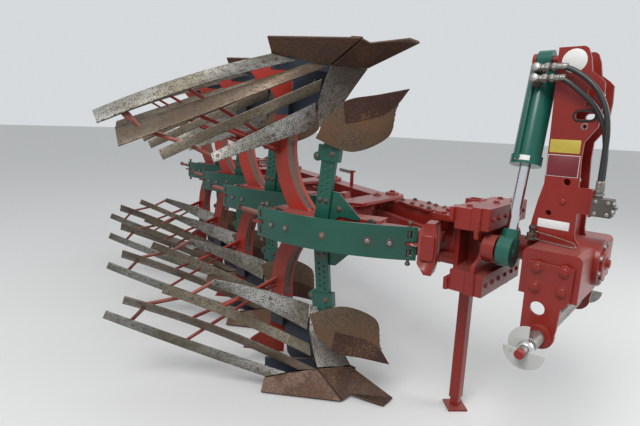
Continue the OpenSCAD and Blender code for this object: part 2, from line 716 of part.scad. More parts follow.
// Base: a bent plate box, open below between its webs
base_bend = 25;
web_y = 130;
module base_profile() {
    translate([base_rear, base_low]) square([base_front - base_rear, base_top - base_low - base_bend]);
    translate([base_rear + base_bend, base_low])
        square([base_front - base_rear - 2 * base_bend, base_top - base_low]);
    for (x = [base_rear + base_bend, base_front - base_bend])
        translate([x, base_top - base_bend]) circle(r = base_bend);
}
module base_frame() {
    color(red) difference() {
        xz_plate(-base_half, base_half) base_profile();
        translate([0, 0, axis_h]) x_rod(housing_r + seat_gap, base_rear - past, base_front + past);
        for (s = [-1, 1]) translate([0, s * (web_y + base_half - base_wall) / 2, 0])
            block([base_rear + base_wall, -(base_half - base_wall - web_y) / 2, base_low - past],
                  [base_front - base_wall, (base_half - base_wall - web_y) / 2, base_top - base_wall]);
    }
}
module bearing_housing() {
    color(red) translate([0, 0, axis_h]) difference() {
        x_rod(housing_r, -162, 137);
        x_rod(shaft_r + run_gap, -170, 140);
    }
}

// Plates bolted to both ends of the base; levels between the hitch pins and the axis follow both
function side_z(f) = hitch_h + f * (axis_h - hitch_h);
SIDE = [[-78, side_z(1.086)], [97, side_z(1.086)], [95, side_z(0.621)], [88, side_z(0.55)],
        [74, side_z(0.49)], [66, side_z(0.46)], [61, side_z(0.132)], [50, side_z(-0.1)],
        [-50, side_z(-0.1)], [-78, side_z(0)]];
ring_r = 48;
ring_t = 25;
module side_plates() {
    color(red) for (s = [-1, 1]) difference() {
        union() {
            translate([0, s * (base_half + seat_gap + side_t / 2), 0]) xz_plate(-side_t / 2, side_t / 2) {
                polygon(SIDE);
                translate([0, hitch_h]) circle(r = 58);
            }
            translate([0, s * (base_half + seat_gap + side_t), hitch_h]) y_rod(ring_r, -ring_t, ring_t);
        }
        translate([0, 0, hitch_h]) y_rod(cross_r + run_gap, -400, 400);
        translate([-21, 0, side_z(0.396)]) y_rod(30, -400, 400);
    }
}
cross_end = 450;
module cross_shaft() {
    color(steel) translate([0, 0, hitch_h]) {
        y_rod(cross_r, -cross_end, cross_end);
        y_rod(hitch_pin_r, -ball_y - 80, ball_y + 80);
    }
}
ball_w = 45;
module hitch_balls() {
    color(bright) for (s = [-1, 1]) translate([0, s * ball_y, hitch_h]) difference() {
        rotate([90, 0, 0]) rotate_extrude() intersection() {
            circle(r = ball_r);
            translate([0, -ball_w / 2]) square([ball_r + past, ball_w]);
        }
        y_rod(hitch_pin_r + run_gap, -ball_r, ball_r);
    }
}
// Half round guide plates: the outer one with its flat edge up, the inner one with it in front
cup_t = 6;
module guide_cups() {
    at = ball_w / 2 + cup_t / 2 + 0.5;
    color(white) for (s = [-1, 1], o = [-1, 1]) translate([0, s * (ball_y + o * at), hitch_h])
        difference() {
            y_rod(cup_r, -cup_t / 2, cup_t / 2);
            translate([0, 0, o > 0 ? cup_r / 2 : 0]) translate([o > 0 ? 0 : cup_r / 2, 0, 0])
                cube([o > 0 ? 3 * cup_r : cup_r, 2 * cup_t, o > 0 ? cup_r : 3 * cup_r], center = true);
            y_rod(hitch_pin_r + run_gap, -cup_r, cup_r);
        }
}

// Valve block on its bracket, and the two hoses from the barrel's elbows down to it
valve_low = mast_z(0.227);
valve_h = 73;
STUB_Y = [-147, -115];
stub_x = 106;
stub_h = 22;
module valve_block() {
    color(dark) {
        block([90, -165, valve_low], [162, -95, valve_low + valve_h]);
        for (y = STUB_Y) translate([stub_x, y, valve_low + valve_h - 1]) cylinder(r = 12, h = stub_h + 1);
    }
}
HOSES = [
    [[-117.7, -133, 1785], [-108, -133, 1785], [-96, -133, 1785], [-48, -136, 1767],
     [9, -139, 1728], [55, -143, 1677], [89, -146, 1607], [104, -147, 1525],
     [106, -147, 1440], [106, -147, 1360], [106, -147, 1282]],
    [[-117.7, -144, 1739], [-108, -144, 1739], [-96, -144, 1739], [-62, -143, 1720],
     [-18, -138, 1685], [31, -129, 1639], [64, -120, 1590], [88, -115, 1530],
     [102, -115, 1450], [106, -115, 1364], [106, -115, 1282]]];
module tube(path, r, sides = 10) {
    n = len(path);
    function at(i, k) = i * sides + k % sides;
    points = [for (i = [0:n - 1]) let(
                  t = unit(path[min(i + 1, n - 1)] - path[max(i - 1, 0)]),
                  a = unit(cross(t, [0, 1, 0])), b = cross(t, a))
              for (k = [0:sides - 1]) path[i] + r * (cos(k * 360 / sides) * a + sin(k * 360 / sides) * b)];
    polyhedron(points = points, faces = concat(
        [[for (k = [0:sides - 1]) k], [for (k = [sides - 1:-1:0]) (n - 1) * sides + k]],
        [for (i = [0:n - 2], k = [0:sides - 1]) each [
            [at(i, k), at(i + 1, k), at(i, k + 1)],
            [at(i + 1, k), at(i + 1, k + 1), at(i, k + 1)]]]));
}
module hoses() {
    color(rubber) for (h = HOSES) let(n = len(h) - 1)
        tube([for (i = [0:n - 1], t = [0, 1 / 2, 1]) if (t < 1 || i == n - 1)
              spline(h[max(i - 1, 0)], h[i], h[i + 1], h[min(i + 2, n)], t)], hose_r);
}

// Parking stand, down on the ground
foot_t = 12;
module stand() {
    top = axis_h - beam_h / 2 + 4;
    color(red) translate([stand_x, 0, 0]) {
        block([-stand_w / 2, -stand_w / 2, 62], [stand_w / 2, stand_w / 2, top]);
        block([-stand_inner_w / 2, -stand_inner_w / 2, 10], [stand_inner_w / 2, stand_inner_w / 2, 200]);
        linear_extrude(foot_t) polygon([[-foot_half, 0], [0, -foot_half], [foot_half, 0], [0, foot_half]]);
    }
}

place() {
    mast();
    base_frame();
    side_plates();
    bearing_housing();
    cross_shaft();
    hitch_balls();
    guide_cups();
    cylinder_pin();
    valve_block();
    hoses();
    barrel();
    rod();
    rod_eye();
    turning_head();
    crank();
    stand();
    beam();
    beam_plates();
    tie_bar();
    for (i = [0:3]) {
        carrier(i);
        leaf(i);
        inner_leaves(i);
        legs(i);
        frogs(i);
        slats(i);
        shares(i);
        stalks(i);
        skimmers(i);
    }
}
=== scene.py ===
# %% [markdown]
# This lesson dresses a mounted plough: four furrows, two sets of slatted mouldboards that turn
# over about one shaft, legs carried by leaf springs, and a cylinder that does the turning.
# The solid model gives every place and every motion. Each of its pieces gets softened edges and
# a finish here, and then come the small things that a solid model leaves out, such as bolts and
# wear. The whole plough could be modelled again in this file, but its sizes would soon drift
# from the solid's, so the solid's own pieces stay the base of everything.

# %% Load the solid model
import json
import math

import bmesh
import bpy
import numpy as np
from mathutils import Matrix, Vector


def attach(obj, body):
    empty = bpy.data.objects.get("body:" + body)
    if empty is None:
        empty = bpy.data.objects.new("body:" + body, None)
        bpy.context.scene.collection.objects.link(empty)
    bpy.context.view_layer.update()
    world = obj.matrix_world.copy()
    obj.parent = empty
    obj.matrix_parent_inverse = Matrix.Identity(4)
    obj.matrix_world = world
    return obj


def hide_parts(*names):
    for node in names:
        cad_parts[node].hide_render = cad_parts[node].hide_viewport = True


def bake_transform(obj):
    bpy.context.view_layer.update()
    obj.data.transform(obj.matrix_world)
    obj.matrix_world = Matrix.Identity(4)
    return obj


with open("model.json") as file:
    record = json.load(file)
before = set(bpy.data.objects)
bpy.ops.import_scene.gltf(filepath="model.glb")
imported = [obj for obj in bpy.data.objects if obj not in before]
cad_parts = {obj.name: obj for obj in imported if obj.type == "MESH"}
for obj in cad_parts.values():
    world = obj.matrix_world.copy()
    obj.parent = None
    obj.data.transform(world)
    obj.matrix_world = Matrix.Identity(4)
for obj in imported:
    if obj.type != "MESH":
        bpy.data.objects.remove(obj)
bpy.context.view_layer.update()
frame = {"nodes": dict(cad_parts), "record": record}
BODY_OF = {node: body for body, nodes in frame["record"]["behaviour"]["bodies"].items() for node in nodes}

# %% [markdown]
# The maker's drawing measures from the hitch cross shaft in millimetres, X forward, Y to the
# left, Z up from the ground. The model stands in metres with its middle at the origin. Each
# number could be changed by hand, but one small function does it for whole arrays, and every
# number below can still be read off the drawing.

# %% Places
ORIGIN = np.array([-2205.0, 170.0, 0.0])     # the model's middle, in the drawing
AXIS_H = 966.0                               # height of the turnover shaft
TIP = np.array([-735.0, -250.0, 0.0])        # below the front share's tip
STEP = np.array([-850.0, 405.0, 0.0])        # from one body to the next one back
BODIES = range(4)
SIDES = (-1, 1)                              # below and above the shaft, or right and left


def place(points):
    """Drawing millimetres to model metres: (p - origin) / 1000."""
    return (np.asarray(points, float) - ORIGIN) / 1000


def at_body(points, i):
    """Points measured from the share's tip of body i (0 is the front one), in model metres."""
    return place(np.asarray(points, float) + TIP + i * STEP)


def turned_over(points):
    """The same points under or over the shaft: z becomes twice the shaft's height less z."""
    flipped = np.array(points, float)
    flipped[..., 2] = 2 * AXIS_H - flipped[..., 2]
    return flipped


print("front share's tip, below and above:", at_body([0, 0, 0], 0), at_body(turned_over([0, 0, 0]), 0))

# %% [markdown]
# A finish is a small tree of shader nodes. Linking them one by one by hand is slow to read, so a
# thin class wraps an output and lets plain arithmetic add the Math nodes. Colours go through Mix
# nodes instead, because a Math node would turn them grey.

# %% Shader arithmetic
class Wire:
    """An output socket on which + - and * add Math nodes."""

    def __init__(self, finish, socket):
        self.finish, self.socket = finish, socket

    def math(self, operation, a, b, clamp=False):
        return self.finish.node("ShaderNodeMath", {"operation": operation, "use_clamp": clamp}, {0: a, 1: b})

    def __add__(self, other): return self.math("ADD", self, other)
    def __radd__(self, other): return self.math("ADD", other, self)
    def __sub__(self, other): return self.math("SUBTRACT", self, other)
    def __rsub__(self, other): return self.math("SUBTRACT", other, self)
    def __mul__(self, other): return self.math("MULTIPLY", self, other)
    def __rmul__(self, other): return self.math("MULTIPLY", other, self)

    def clamp(self): return self.math("ADD", self, 0.0, True)

    def ramp(self, low, high):
        """0 below low, 1 above high, smooth between."""
        return self.finish.node("ShaderNodeMapRange", {"interpolation_type": "SMOOTHSTEP"},
                                {"Value": self, "From Min": low, "From Max": high}, "Result")


class Finish:
    """A material with its Principled shader, and the one method that adds any other node."""

    def __init__(self, name):
        self.material = bpy.data.materials.new(name)
        self.material.use_nodes = True
        self.tree = self.material.node_tree
        self.shader = self.tree.nodes["Principled BSDF"]

    def node(self, kind, settings=None, inputs=None, output=0):
        made = self.tree.nodes.new(kind)
        for key, value in (settings or {}).items():
            setattr(made, key, value)
        self.feed(made, inputs or {})
        return Wire(self, made.outputs[output])

    def feed(self, made, inputs):
        for key, value in inputs.items():
            if isinstance(value, Wire):
                self.tree.links.new(value.socket, made.inputs[key])
            else:
                made.inputs[key].default_value = value

    def set(self, **inputs):
        self.feed(self.shader, {key.replace("_", " "): value for key, value in inputs.items()})

    def here(self, scale=(1, 1, 1), uv=None):
        """Object coordinates, or the piece's own UV map, stretched by scale."""
        if uv:
            source = self.node("ShaderNodeUVMap", {"uv_map": uv}, output="UV")
        else:
            source = self.node("ShaderNodeTexCoord", output="Object")
        return self.node("ShaderNodeMapping", {}, {"Vector": source, "Scale": scale}, "Vector")

    def noise(self, scale, detail=3.0, rough=0.55, at=None):
        return self.node("ShaderNodeTexNoise", {}, {"Vector": at or self.here(), "Scale": scale,
                         "Detail": detail, "Roughness": rough}, "Fac")

    def mix(self, factor, a, b):
        return self.node("ShaderNodeMix", {"data_type": "RGBA"}, {0: factor, 6: rgba(a), 7: rgba(b)}, 2)

    def bump(self, height, distance, strength=1.0):
        return self.node("ShaderNodeBump", {}, {"Height": height, "Distance": distance,
                         "Strength": strength}, "Normal")

    def up(self):
        """1 on faces that look at the sky, 0 on upright ones."""
        normal = self.node("ShaderNodeNewGeometry", output="Normal")
        return self.node("ShaderNodeSeparateXYZ", {}, {0: normal}, 2)


def rgba(colour):
    return colour if isinstance(colour, Wire) else (*colour, 1.0)


# %% [markdown]
# Farm paint is thick gloss enamel. It fades in broad patches, gathers dust on its upper faces,
# and is knocked off in small chips that rust. The upper faces are also painted paler than the
# rest, a painted sheen for the sky's light on them. A photographed texture would show the same
# chips again and again, so noise at three sizes makes them: broad for fading, fine for grime, and
# grit for the chips. One recipe with a few numbers gives all of the paints, so that they look
# as if they came out of one shop and one shed.

# %% Painted finishes
RUST, OLD_RUST = (0.13, 0.055, 0.028), (0.05, 0.035, 0.03)
# The pale colour for upper faces: dust, and partly a painted sheen of the sky's light
DUST_AND_SKY_SHEEN, GRIME = (0.30, 0.22, 0.19), (0.055, 0.040, 0.032)


def paint(name, colour, faded, chips, dust_and_sheen_level, rough, coat, dirt):
    """Enamel: colour to faded by broad noise, then grime, then dust and a painted sky sheen where it looks up, then
    chips.
    """
    f = Finish(name)
    broad = f.noise(2.3, 4)
    fine = f.noise(38, 5, 0.65)
    grit = f.noise(210, 3, 0.7)
    flake = (fine * 0.7 + grit * 0.3).ramp(0.72 - 0.08 * chips, 0.74 - 0.08 * chips)
    # Upward faces: dust, and partly a painted pale sheen standing in for the sky's light
    dust_and_sheen = (f.up().ramp(0.3, 0.95) * dust_and_sheen_level * (0.2 + 0.8 * broad)).clamp()
    grime = (fine * 0.6 + broad * 0.4).ramp(0.52, 0.72) * dirt
    base = f.mix(broad.ramp(0.3, 0.7), colour, faded)
    base = f.mix(grime, base, GRIME)
    base = f.mix(dust_and_sheen, base, DUST_AND_SKY_SHEEN)
    base = f.mix(flake, base, f.mix(grit.ramp(0.4, 0.6), RUST, OLD_RUST))
    f.set(Base_Color=base, Roughness=(rough + dust_and_sheen * 0.5 + flake * 0.5 + grime * 0.3).clamp(),
          Coat_Weight=((1 - flake) * (1 - dust_and_sheen) * coat).clamp(), Coat_Roughness=0.15,
          Specular_IOR_Level=0.3,
          Normal=f.bump(grit * 0.25 - flake * 0.8 + broad * 0.3, 0.0006, 0.5))
    return f.material


RED = paint("red_paint", (0.235, 0.016, 0.010), (0.190, 0.015, 0.010),
            chips=0.35, dust_and_sheen_level=0.25, rough=0.33, coat=0.22, dirt=0.3)
LEG_RED = paint("leg_paint", (0.340, 0.022, 0.012), (0.230, 0.024, 0.014),
                chips=0.8, dust_and_sheen_level=0.25, rough=0.42, coat=0.12, dirt=0.6)
GREEN = paint("leaf_green_paint", (0.010, 0.088, 0.060), (0.008, 0.062, 0.043),
              chips=0.5, dust_and_sheen_level=0.15, rough=0.32, coat=0.22, dirt=0.5)
BARREL_GREEN = paint("barrel_green_paint", (0.006, 0.095, 0.070), (0.006, 0.080, 0.060),
                     chips=0.1, dust_and_sheen_level=0.1, rough=0.25, coat=0.3, dirt=0.1)
BLUE_BLACK = paint("blue_black_paint", (0.028, 0.036, 0.055), (0.040, 0.045, 0.058),
                   chips=0.6, dust_and_sheen_level=0.35, rough=0.45, coat=0.1, dirt=0.5)
WHITE = paint("white_paint", (0.50, 0.50, 0.48), (0.40, 0.40, 0.38),
              chips=0.6, dust_and_sheen_level=0.05, rough=0.4, coat=0.2, dirt=0.6)
STRUT = paint("strut_paint", (0.26, 0.060, 0.042), (0.17, 0.055, 0.038),
              chips=1.2, dust_and_sheen_level=0.4, rough=0.5, coat=0.05, dirt=0.6)
PANEL_RED = paint("panel_red", (0.150, 0.016, 0.022), (0.130, 0.016, 0.020),
                  chips=0.2, dust_and_sheen_level=0.15, rough=0.35, coat=0.15, dirt=0.2)
PLATE_YELLOW = paint("plate_yellow", (0.52, 0.40, 0.055), (0.42, 0.33, 0.06),
                     chips=0.3, dust_and_sheen_level=0.1, rough=0.4, coat=0.1, dirt=0.4)
BLOCK_GREY = paint("oily_block", (0.085, 0.075, 0.062), (0.045, 0.038, 0.032),
                   chips=0.9, dust_and_sheen_level=0.35, rough=0.45, coat=0.1, dirt=0.8)
GREASE = paint("grease_black", (0.018, 0.014, 0.013), (0.030, 0.016, 0.014),
               chips=0.0, dust_and_sheen_level=0.0, rough=0.38, coat=0.2, dirt=0.2)
print("painted finishes:", len(bpy.data.materials))

# %% [markdown]
# Plain steel on a plough that stands out of doors is never one grey. Damp stains it in patches
# and freckles it with rust, and both take away its shine as well as its colour. So the same two
# masks lower Metallic and raise Roughness, which a coloured picture alone could not do.

# %% Steel finishes
SPOT_RIM, SPOT_HEART = (0.16, 0.075, 0.035), (0.06, 0.04, 0.03)


def steel(name, bright, dull, rust=0.5, rough=0.32, speck=90, metallic=0.85, stained=(0.20, 0.125, 0.075)):
    """Bare steel: bright to dull along drawn lines, then broad stains, then rust spots of size 1 / speck."""
    f = Finish(name)
    at = f.here()
    lines = f.noise(26, 5, 0.7, f.here((3, 3, 9)))
    patch = f.noise(5, 4, 0.6, at)
    freckle = f.noise(speck, 4, 0.75, at)
    spots = (freckle * 0.75 + patch * 0.35).ramp(0.66 - 0.12 * rust, 0.72 - 0.1 * rust)
    stain = (patch * 0.8 + lines * 0.3).ramp(0.62 - 0.15 * rust, 0.8 - 0.15 * rust)
    base = f.mix(lines.ramp(0.3, 0.7), bright, dull)
    base = f.mix(stain * 0.75, base, stained)
    base = f.mix(spots, base, f.mix(freckle.ramp(0.6, 0.75), SPOT_RIM, SPOT_HEART))
    worn = (spots + stain * 0.6).clamp()
    f.set(Base_Color=base, Metallic=(metallic - worn * 0.6).clamp(),
          Roughness=(rough + worn * 0.4 + lines * 0.12).clamp(),
          Normal=f.bump(lines * 0.3 + freckle * 0.5 - spots * 0.4, 0.0005, 0.5))
    return f.material


SHARE = steel("share_steel", (0.115, 0.075, 0.055), (0.050, 0.030, 0.024),
              rust=0.7, rough=0.45, stained=(0.085, 0.045, 0.032))
SKIM = steel("skimmer_steel", (0.160, 0.118, 0.080), (0.055, 0.040, 0.028),
             rust=0.9, rough=0.42, speck=130, stained=(0.090, 0.056, 0.034))
SKIM_SHARE = steel("skimmer_share_steel", (0.085, 0.042, 0.032), (0.045, 0.026, 0.022),
                   rust=0.5, rough=0.45, stained=(0.055, 0.030, 0.024))
SLAT_DARK = steel("slat_bolt_steel", (0.17, 0.16, 0.15), (0.09, 0.08, 0.07), rust=0.7, rough=0.45)
PIN = steel("pin_steel", (0.38, 0.37, 0.36), (0.25, 0.24, 0.23), rust=0.4, rough=0.4)
BRIGHT = steel("bright_steel", (0.72, 0.72, 0.71), (0.55, 0.55, 0.54), rust=0.0, rough=0.22)
ZINC = steel("zinc_bolt", (0.34, 0.33, 0.31), (0.20, 0.19, 0.18), rust=0.5, rough=0.38, speck=160)
OLD_BOLT = steel("old_bolt", (0.13, 0.11, 0.10), (0.07, 0.055, 0.048), rust=0.6, rough=0.45, speck=160)
SCOUR = steel("scoured_leg", (0.125, 0.095, 0.078), (0.050, 0.036, 0.028),
              rust=0.6, rough=0.45, speck=70, metallic=0.4, stained=(0.10, 0.075, 0.055))
print("painted and steel finishes:", len(bpy.data.materials))

# %% [markdown]
# Soil scours the slats until they are pale, brown zones stay where it presses less, and one
# winter pits them all over. Object coordinates would lay straight lines across a bent strip, so
# each strip carries a UV map whose first number is the way along it in metres. The noise is
# stretched along that, and its scratches bend with the strip.

# %% Scoured slats
STREAK, PIT = (0.10, 0.085, 0.07), (0.030, 0.023, 0.018)


def scoured(name, pale, brown):
    """Slat steel: pale to brown in broad zones, streaks drawn along by the soil, dark pits in clusters."""
    f = Finish(name)
    at = f.here(uv="along")
    zones = f.noise(2.6, 3, 0.5, at)
    drawn = f.noise(24, 4, 0.6, f.here((0.7, 13, 1), "along"))
    pits = f.noise(165, 2, 0.5, at)
    clusters = f.noise(34, 3, 0.6, at)
    pitted = (pits * 0.75 + clusters * 0.35).ramp(0.565, 0.600)
    base = f.mix(zones.ramp(0.36, 0.62), pale, brown)
    base = f.mix(drawn.ramp(0.35, 0.75) * 0.5, base, STREAK)
    base = f.mix(pitted * 0.9, base, PIT)
    f.set(Base_Color=base, Metallic=(0.55 - pitted * 0.5).clamp(),
          Roughness=(0.36 + pitted * 0.3 + drawn * 0.14).clamp(),
          Normal=f.bump(drawn * 0.3 - pitted * 0.6, 0.0006, 0.5))
    return f.material


# From the slat next to the share to the one next to the shaft, and the shin last
SLAT_STEELS = [scoured("slat_steel_lowest", (0.36, 0.355, 0.33), (0.17, 0.150, 0.105)),
               scoured("slat_steel_second", (0.250, 0.195, 0.145), (0.140, 0.090, 0.052)),
               scoured("slat_steel_third", (0.270, 0.225, 0.165), (0.140, 0.110, 0.070)),
               # The top slat is scoured pale, and its paler steel is also a painted reflection of the sky on it
               scoured("slat_steel_top_and_sky_sheen", (0.52, 0.515, 0.49), (0.24, 0.22, 0.175)),
               scoured("shin_steel", (0.33, 0.31, 0.28), (0.15, 0.125, 0.10))]
print("slat finishes:", len(SLAT_STEELS))

# %% [markdown]
# The cylinder's rod, the hoses and the blank plates are even all over. Perfectly even gloss
# looks like a drawing, so they keep one faint noise in their colour and roughness, and nothing
# else: rust or dust on a chromed rod would soon ruin its seal, and a maker wipes it off.

# %% Even finishes
def even(name, colour, rough, metallic=0.0, coat=0.0):
    """A plain surface: colour to 0.85 of itself and a little roughness, both by one faint noise."""
    f = Finish(name)
    faint = f.noise(30, 3)
    f.set(Base_Color=f.mix(faint, colour, tuple(c * 0.85 for c in colour)), Roughness=rough + faint * 0.1,
          Metallic=metallic, Coat_Weight=coat, Normal=f.bump(faint, 0.0002, 0.3))
    return f.material


CHROME = even("chrome_rod", (0.75, 0.76, 0.78), rough=0.05, metallic=1.0)
RUBBER = even("hose_rubber", (0.014, 0.014, 0.015), rough=0.42, coat=0.15)
LABEL = even("blank_label", (0.70, 0.70, 0.68), rough=0.35)
print("all finishes:", len(bpy.data.materials))

# %% [markdown]
# Real plate has no knife edges: a cut edge is broken by a grinder and catches a thin line of
# light. Rounding could be drawn in the solid, but it would cost thousands of faces there. A
# solid model's mesh is loose triangles, so a copy is welded, its flat faces are joined, and a
# Bevel modifier rounds every edge sharper than about thirty degrees. Weighted normals then keep
# the large faces flat to the eye, and only the narrow bevels bend the light.

# %% Soften a solid's edges
SHARP = math.radians(28)
BROKEN_EDGE, THIN_EDGE = 0.0025, 0.0012      # bevel widths in metres, the second for thin plate
THIN_KINDS = ("mast", "guide_cups", "leaf", "inner_leaves")


def finish_mesh(piece, material, body, nodes=()):
    """Give a piece its finish, the body that it rides on and the nodes that it replaces."""
    piece.data.materials.clear()
    piece.data.materials.append(material)
    if body:
        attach(piece, body)
    if nodes:
        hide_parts(*nodes)
    return piece


def soften(node, material, radius):
    """A copy of a node: doubles merged, faces under 0.6 degrees joined, sharp edges rounded by radius."""
    mesh = frame["nodes"][node].data.copy()
    bm = bmesh.new()
    bm.from_mesh(mesh)
    bmesh.ops.remove_doubles(bm, verts=bm.verts, dist=2e-5)
    bmesh.ops.dissolve_limit(bm, angle_limit=math.radians(0.6), verts=bm.verts, edges=bm.edges)
    bm.to_mesh(mesh)
    bm.free()
    mesh.shade_smooth()
    piece = bpy.data.objects.new(node + "_skin", mesh)
    bpy.context.scene.collection.objects.link(piece)
    edge = piece.modifiers.new("edge", "BEVEL")
    edge.width, edge.segments, edge.limit_method, edge.angle_limit = radius, 2, "ANGLE", SHARP
    edge.use_clamp_overlap = True
    flat = piece.modifiers.new("flat", "WEIGHTED_NORMAL")
    flat.keep_sharp, flat.weight = True, 80
    return finish_mesh(piece, material, BODY_OF[node], [node])


FINISH_OF = {
    "mast": RED, "base_frame": RED, "side_plates": RED, "bearing_housing": RED, "cross_shaft": PIN,
    "hitch_balls": BRIGHT, "guide_cups": WHITE, "cylinder_pin": RED, "valve_block": BLOCK_GREY,
    "barrel": BARREL_GREEN, "rod": CHROME, "rod_eye": BARREL_GREEN, "turning_head": RED, "crank": RED,
    "stand": RED, "beam": RED, "beam_plates": RED, "tie_bar": RED, "carrier": RED, "leaf": GREEN,
    "inner_leaves": RED, "legs": LEG_RED, "frogs": BLUE_BLACK, "shares": SHARE, "stalks": GREEN,
    "skimmers": SKIM}
softened = []
for node in sorted(frame["nodes"]):
    kind = node if node in FINISH_OF else node.rsplit("_", 1)[0]
    if kind in FINISH_OF:
        softened.append(soften(node, FINISH_OF[kind], THIN_EDGE if kind in THIN_KINDS else BROKEN_EDGE))
print("softened:", len(softened), "nodes of", len(frame["nodes"]))

# %% [markdown]
# The pieces that are new here are surfaces of two parameters: one runs along the piece and the
# other round its section. A shape could be pushed into place vertex by vertex in the viewport,
# but a formula gives every vertex at once, as one array, and a measured number stays a number.

# %% Surfaces from two parameters
def shell(grid):
    """Faces for a grid of points, rows by columns, joined round its columns and capped at its ends."""
    rows, cols = grid.shape[:2]
    index = np.arange(rows * cols).reshape(rows, cols)
    right = np.roll(index, -1, axis=1)
    quads = np.stack([index[:-1], index[1:], right[1:], right[:-1]], axis=-1).reshape(-1, 4)
    faces = quads.tolist() + [index[0].tolist(), index[-1][::-1].tolist()]
    return grid.reshape(-1, 3), faces


def bezier(a, b, c, t):
    """Quadratic curve: (1-t)^2 a + 2t(1-t) b + t^2 c."""
    t = t[:, None]
    return (1 - t) ** 2 * a + 2 * t * (1 - t) * b + t ** 2 * c


def add_piece(name, parts, material, body, nodes=(), uv=None):
    """One object from several (points, faces) pairs, with its place in its mesh."""
    points, faces, base = [], [], 0
    for verts, polygons in parts:
        points.append(verts)
        faces += [[k + base for k in polygon] for polygon in polygons]
        base += len(verts)
    mesh = bpy.data.meshes.new(name)
    mesh.from_pydata(np.concatenate(points), [], faces)
    bm = bmesh.new()
    bm.from_mesh(mesh)
    bmesh.ops.recalc_face_normals(bm, faces=bm.faces)
    bm.to_mesh(mesh)
    bm.free()
    mesh.shade_smooth()
    mesh.set_sharp_from_angle(angle=math.radians(40))
    if uv is not None:
        layer = mesh.uv_layers.new(name="along")
        corners = np.zeros(len(mesh.loops), int)
        mesh.loops.foreach_get("vertex_index", corners)
        layer.data.foreach_set("uv", np.concatenate(uv)[corners].ravel())
    piece = bpy.data.objects.new(name, mesh)
    bpy.context.scene.collection.objects.link(piece)
    return finish_mesh(piece, material, body, nodes)


def break_edges(piece, width=0.0015):
    """Round a finished piece's sharp edges by width, in metres."""
    edge = piece.modifiers.new("edge", "BEVEL")
    edge.width, edge.segments, edge.limit_method, edge.angle_limit = width, 2, "ANGLE", SHARP
    edge.harden_normals = True
    return piece


# %% [markdown]
# A slatted mouldboard is four strips of steel, bent so that the furrow rolls over as it climbs,
# and a shin that leads them. One bent sheet with slots cut out would be simpler, but each real
# strip has its own bend and its own wear. So a strip is a band between two quadratic curves,
# its lower edge and its upper edge, and its section is a rounded rectangle between them.

# %% Mouldboard strips
# Each slat from its share's tip in mm: low front, high front, low rear, high rear, and its bow
SLATS = np.array([
    [[-584, -388, 84], [-498, -304, 112], [-1272, -985, 404], [-1206, -994, 466], [-38, 24, -26]],
    [[-460, -244, 120], [-382, -181, 131], [-1214, -898, 484], [-1076, -951, 575], [-50, 38, 2]],
    [[-423, -184, 191], [-455, -165, 252], [-966, -800, 586], [-944, -787, 635], [-46, 28, 0]],
    [[-510, -130, 308], [-553, -68, 441], [-860, -560, 603], [-820, -563, 646], [-28, 23, 0]]], float)
# The shin in four rows, each from its front edge to its rear edge
SHIN = np.array([[[-262, -8, 134], [-381, -168, 134]], [[-318, -12, 200], [-430, -152, 200]],
                 [[-398, -26, 308], [-490, -128, 308]], [[-484, -42, 441], [-552, -60, 436]]], float)
SLAT_T, SLAT_CORNER = 10.0, 3.5


def slat_edges(k, t):
    """Low and high edge of slat k at t from 0 to 1: quadratic curves through middles moved by its bow."""
    low_front, high_front, low_rear, high_rear, bow = SLATS[k]
    return (bezier(low_front, (low_front + low_rear) / 2 + 2 * bow, low_rear, t),
            bezier(high_front, (high_front + high_rear) / 2 + 2 * bow, high_rear, t))


def rounded_section(width, thick, corner, steps=3):
    """A rounded rectangle as (across, behind) pairs for each width: straight sides and arcs."""
    arc = np.linspace(0, math.pi / 2, steps + 1)
    across, behind = [], []
    for sx, sy, start in ((1, 0, 0.0), (1, 1, 1.0), (-1, 1, 2.0), (-1, 0, 3.0)):
        turn = arc + (start + 3) * math.pi / 2
        across.append(sx * (width[:, None] / 2 - corner) + corner * np.cos(turn))
        behind.append(sy * (thick - 2 * corner) + corner + corner * np.sin(turn) + 0 * width[:, None])
    return np.concatenate(across, axis=1), np.concatenate(behind, axis=1)


def strip(low, high, thick, corner):
    """A band between two edge curves: section across from low to high, thickness towards the soil."""
    across = high - low
    width = np.linalg.norm(across, axis=1)
    middle = (low + high) / 2
    face = -np.cross(np.gradient(middle, axis=0), across)
    face /= np.linalg.norm(face, axis=1)[:, None]
    x, y = rounded_section(width, thick, corner)
    grid = (middle[:, None] + x[..., None] * (across / width[:, None])[:, None]
            + y[..., None] * face[:, None])
    run = np.concatenate([[0], np.cumsum(np.linalg.norm(np.diff(middle, axis=0), axis=1))])
    uv = np.stack([np.repeat(run[:, None], x.shape[1], 1), x + y], axis=-1) / 1000
    return grid, uv.reshape(-1, 2)


def resampled(rows, steps):
    """Points between measured rows, on straight lines from row to row."""
    t = np.linspace(0, len(rows) - 1, steps)
    return np.stack([np.interp(t, np.arange(len(rows)), rows[:, k]) for k in range(3)], axis=1)


bands = [slat_edges(k, np.linspace(0, 1, 41)) for k in range(len(SLATS))]
bands.append((resampled(SHIN[:, 0], 22), resampled(SHIN[:, 1], 22)))
for i in BODIES:
    for k, (low, high) in enumerate(bands):
        grid, uv = strip(low, high, SLAT_T, SLAT_CORNER)
        parts = [shell(at_body(points, i)) for points in (grid, turned_over(grid))]
        # The UV map starts elsewhere on every strip, so that no two wear alike
        uvs = [uv + (i * 1.3 + k * 0.7), uv + (i * 1.7 + k * 0.9 + 5)]
        add_piece(f"slat_skins_{i + 1}_{k + 1}", parts, SLAT_STEELS[k], f"carriage_{i + 1}",
                  [f"slats_{i + 1}"], uvs)

# %% [markdown]
# The share and its point meet on a slanting joint, and on the real plough the frog closes it
# from behind. The two could be drawn as one piece, but then the joint's dark line would be
# lost. So a narrow strip is laid behind it, and no light shows between the two.

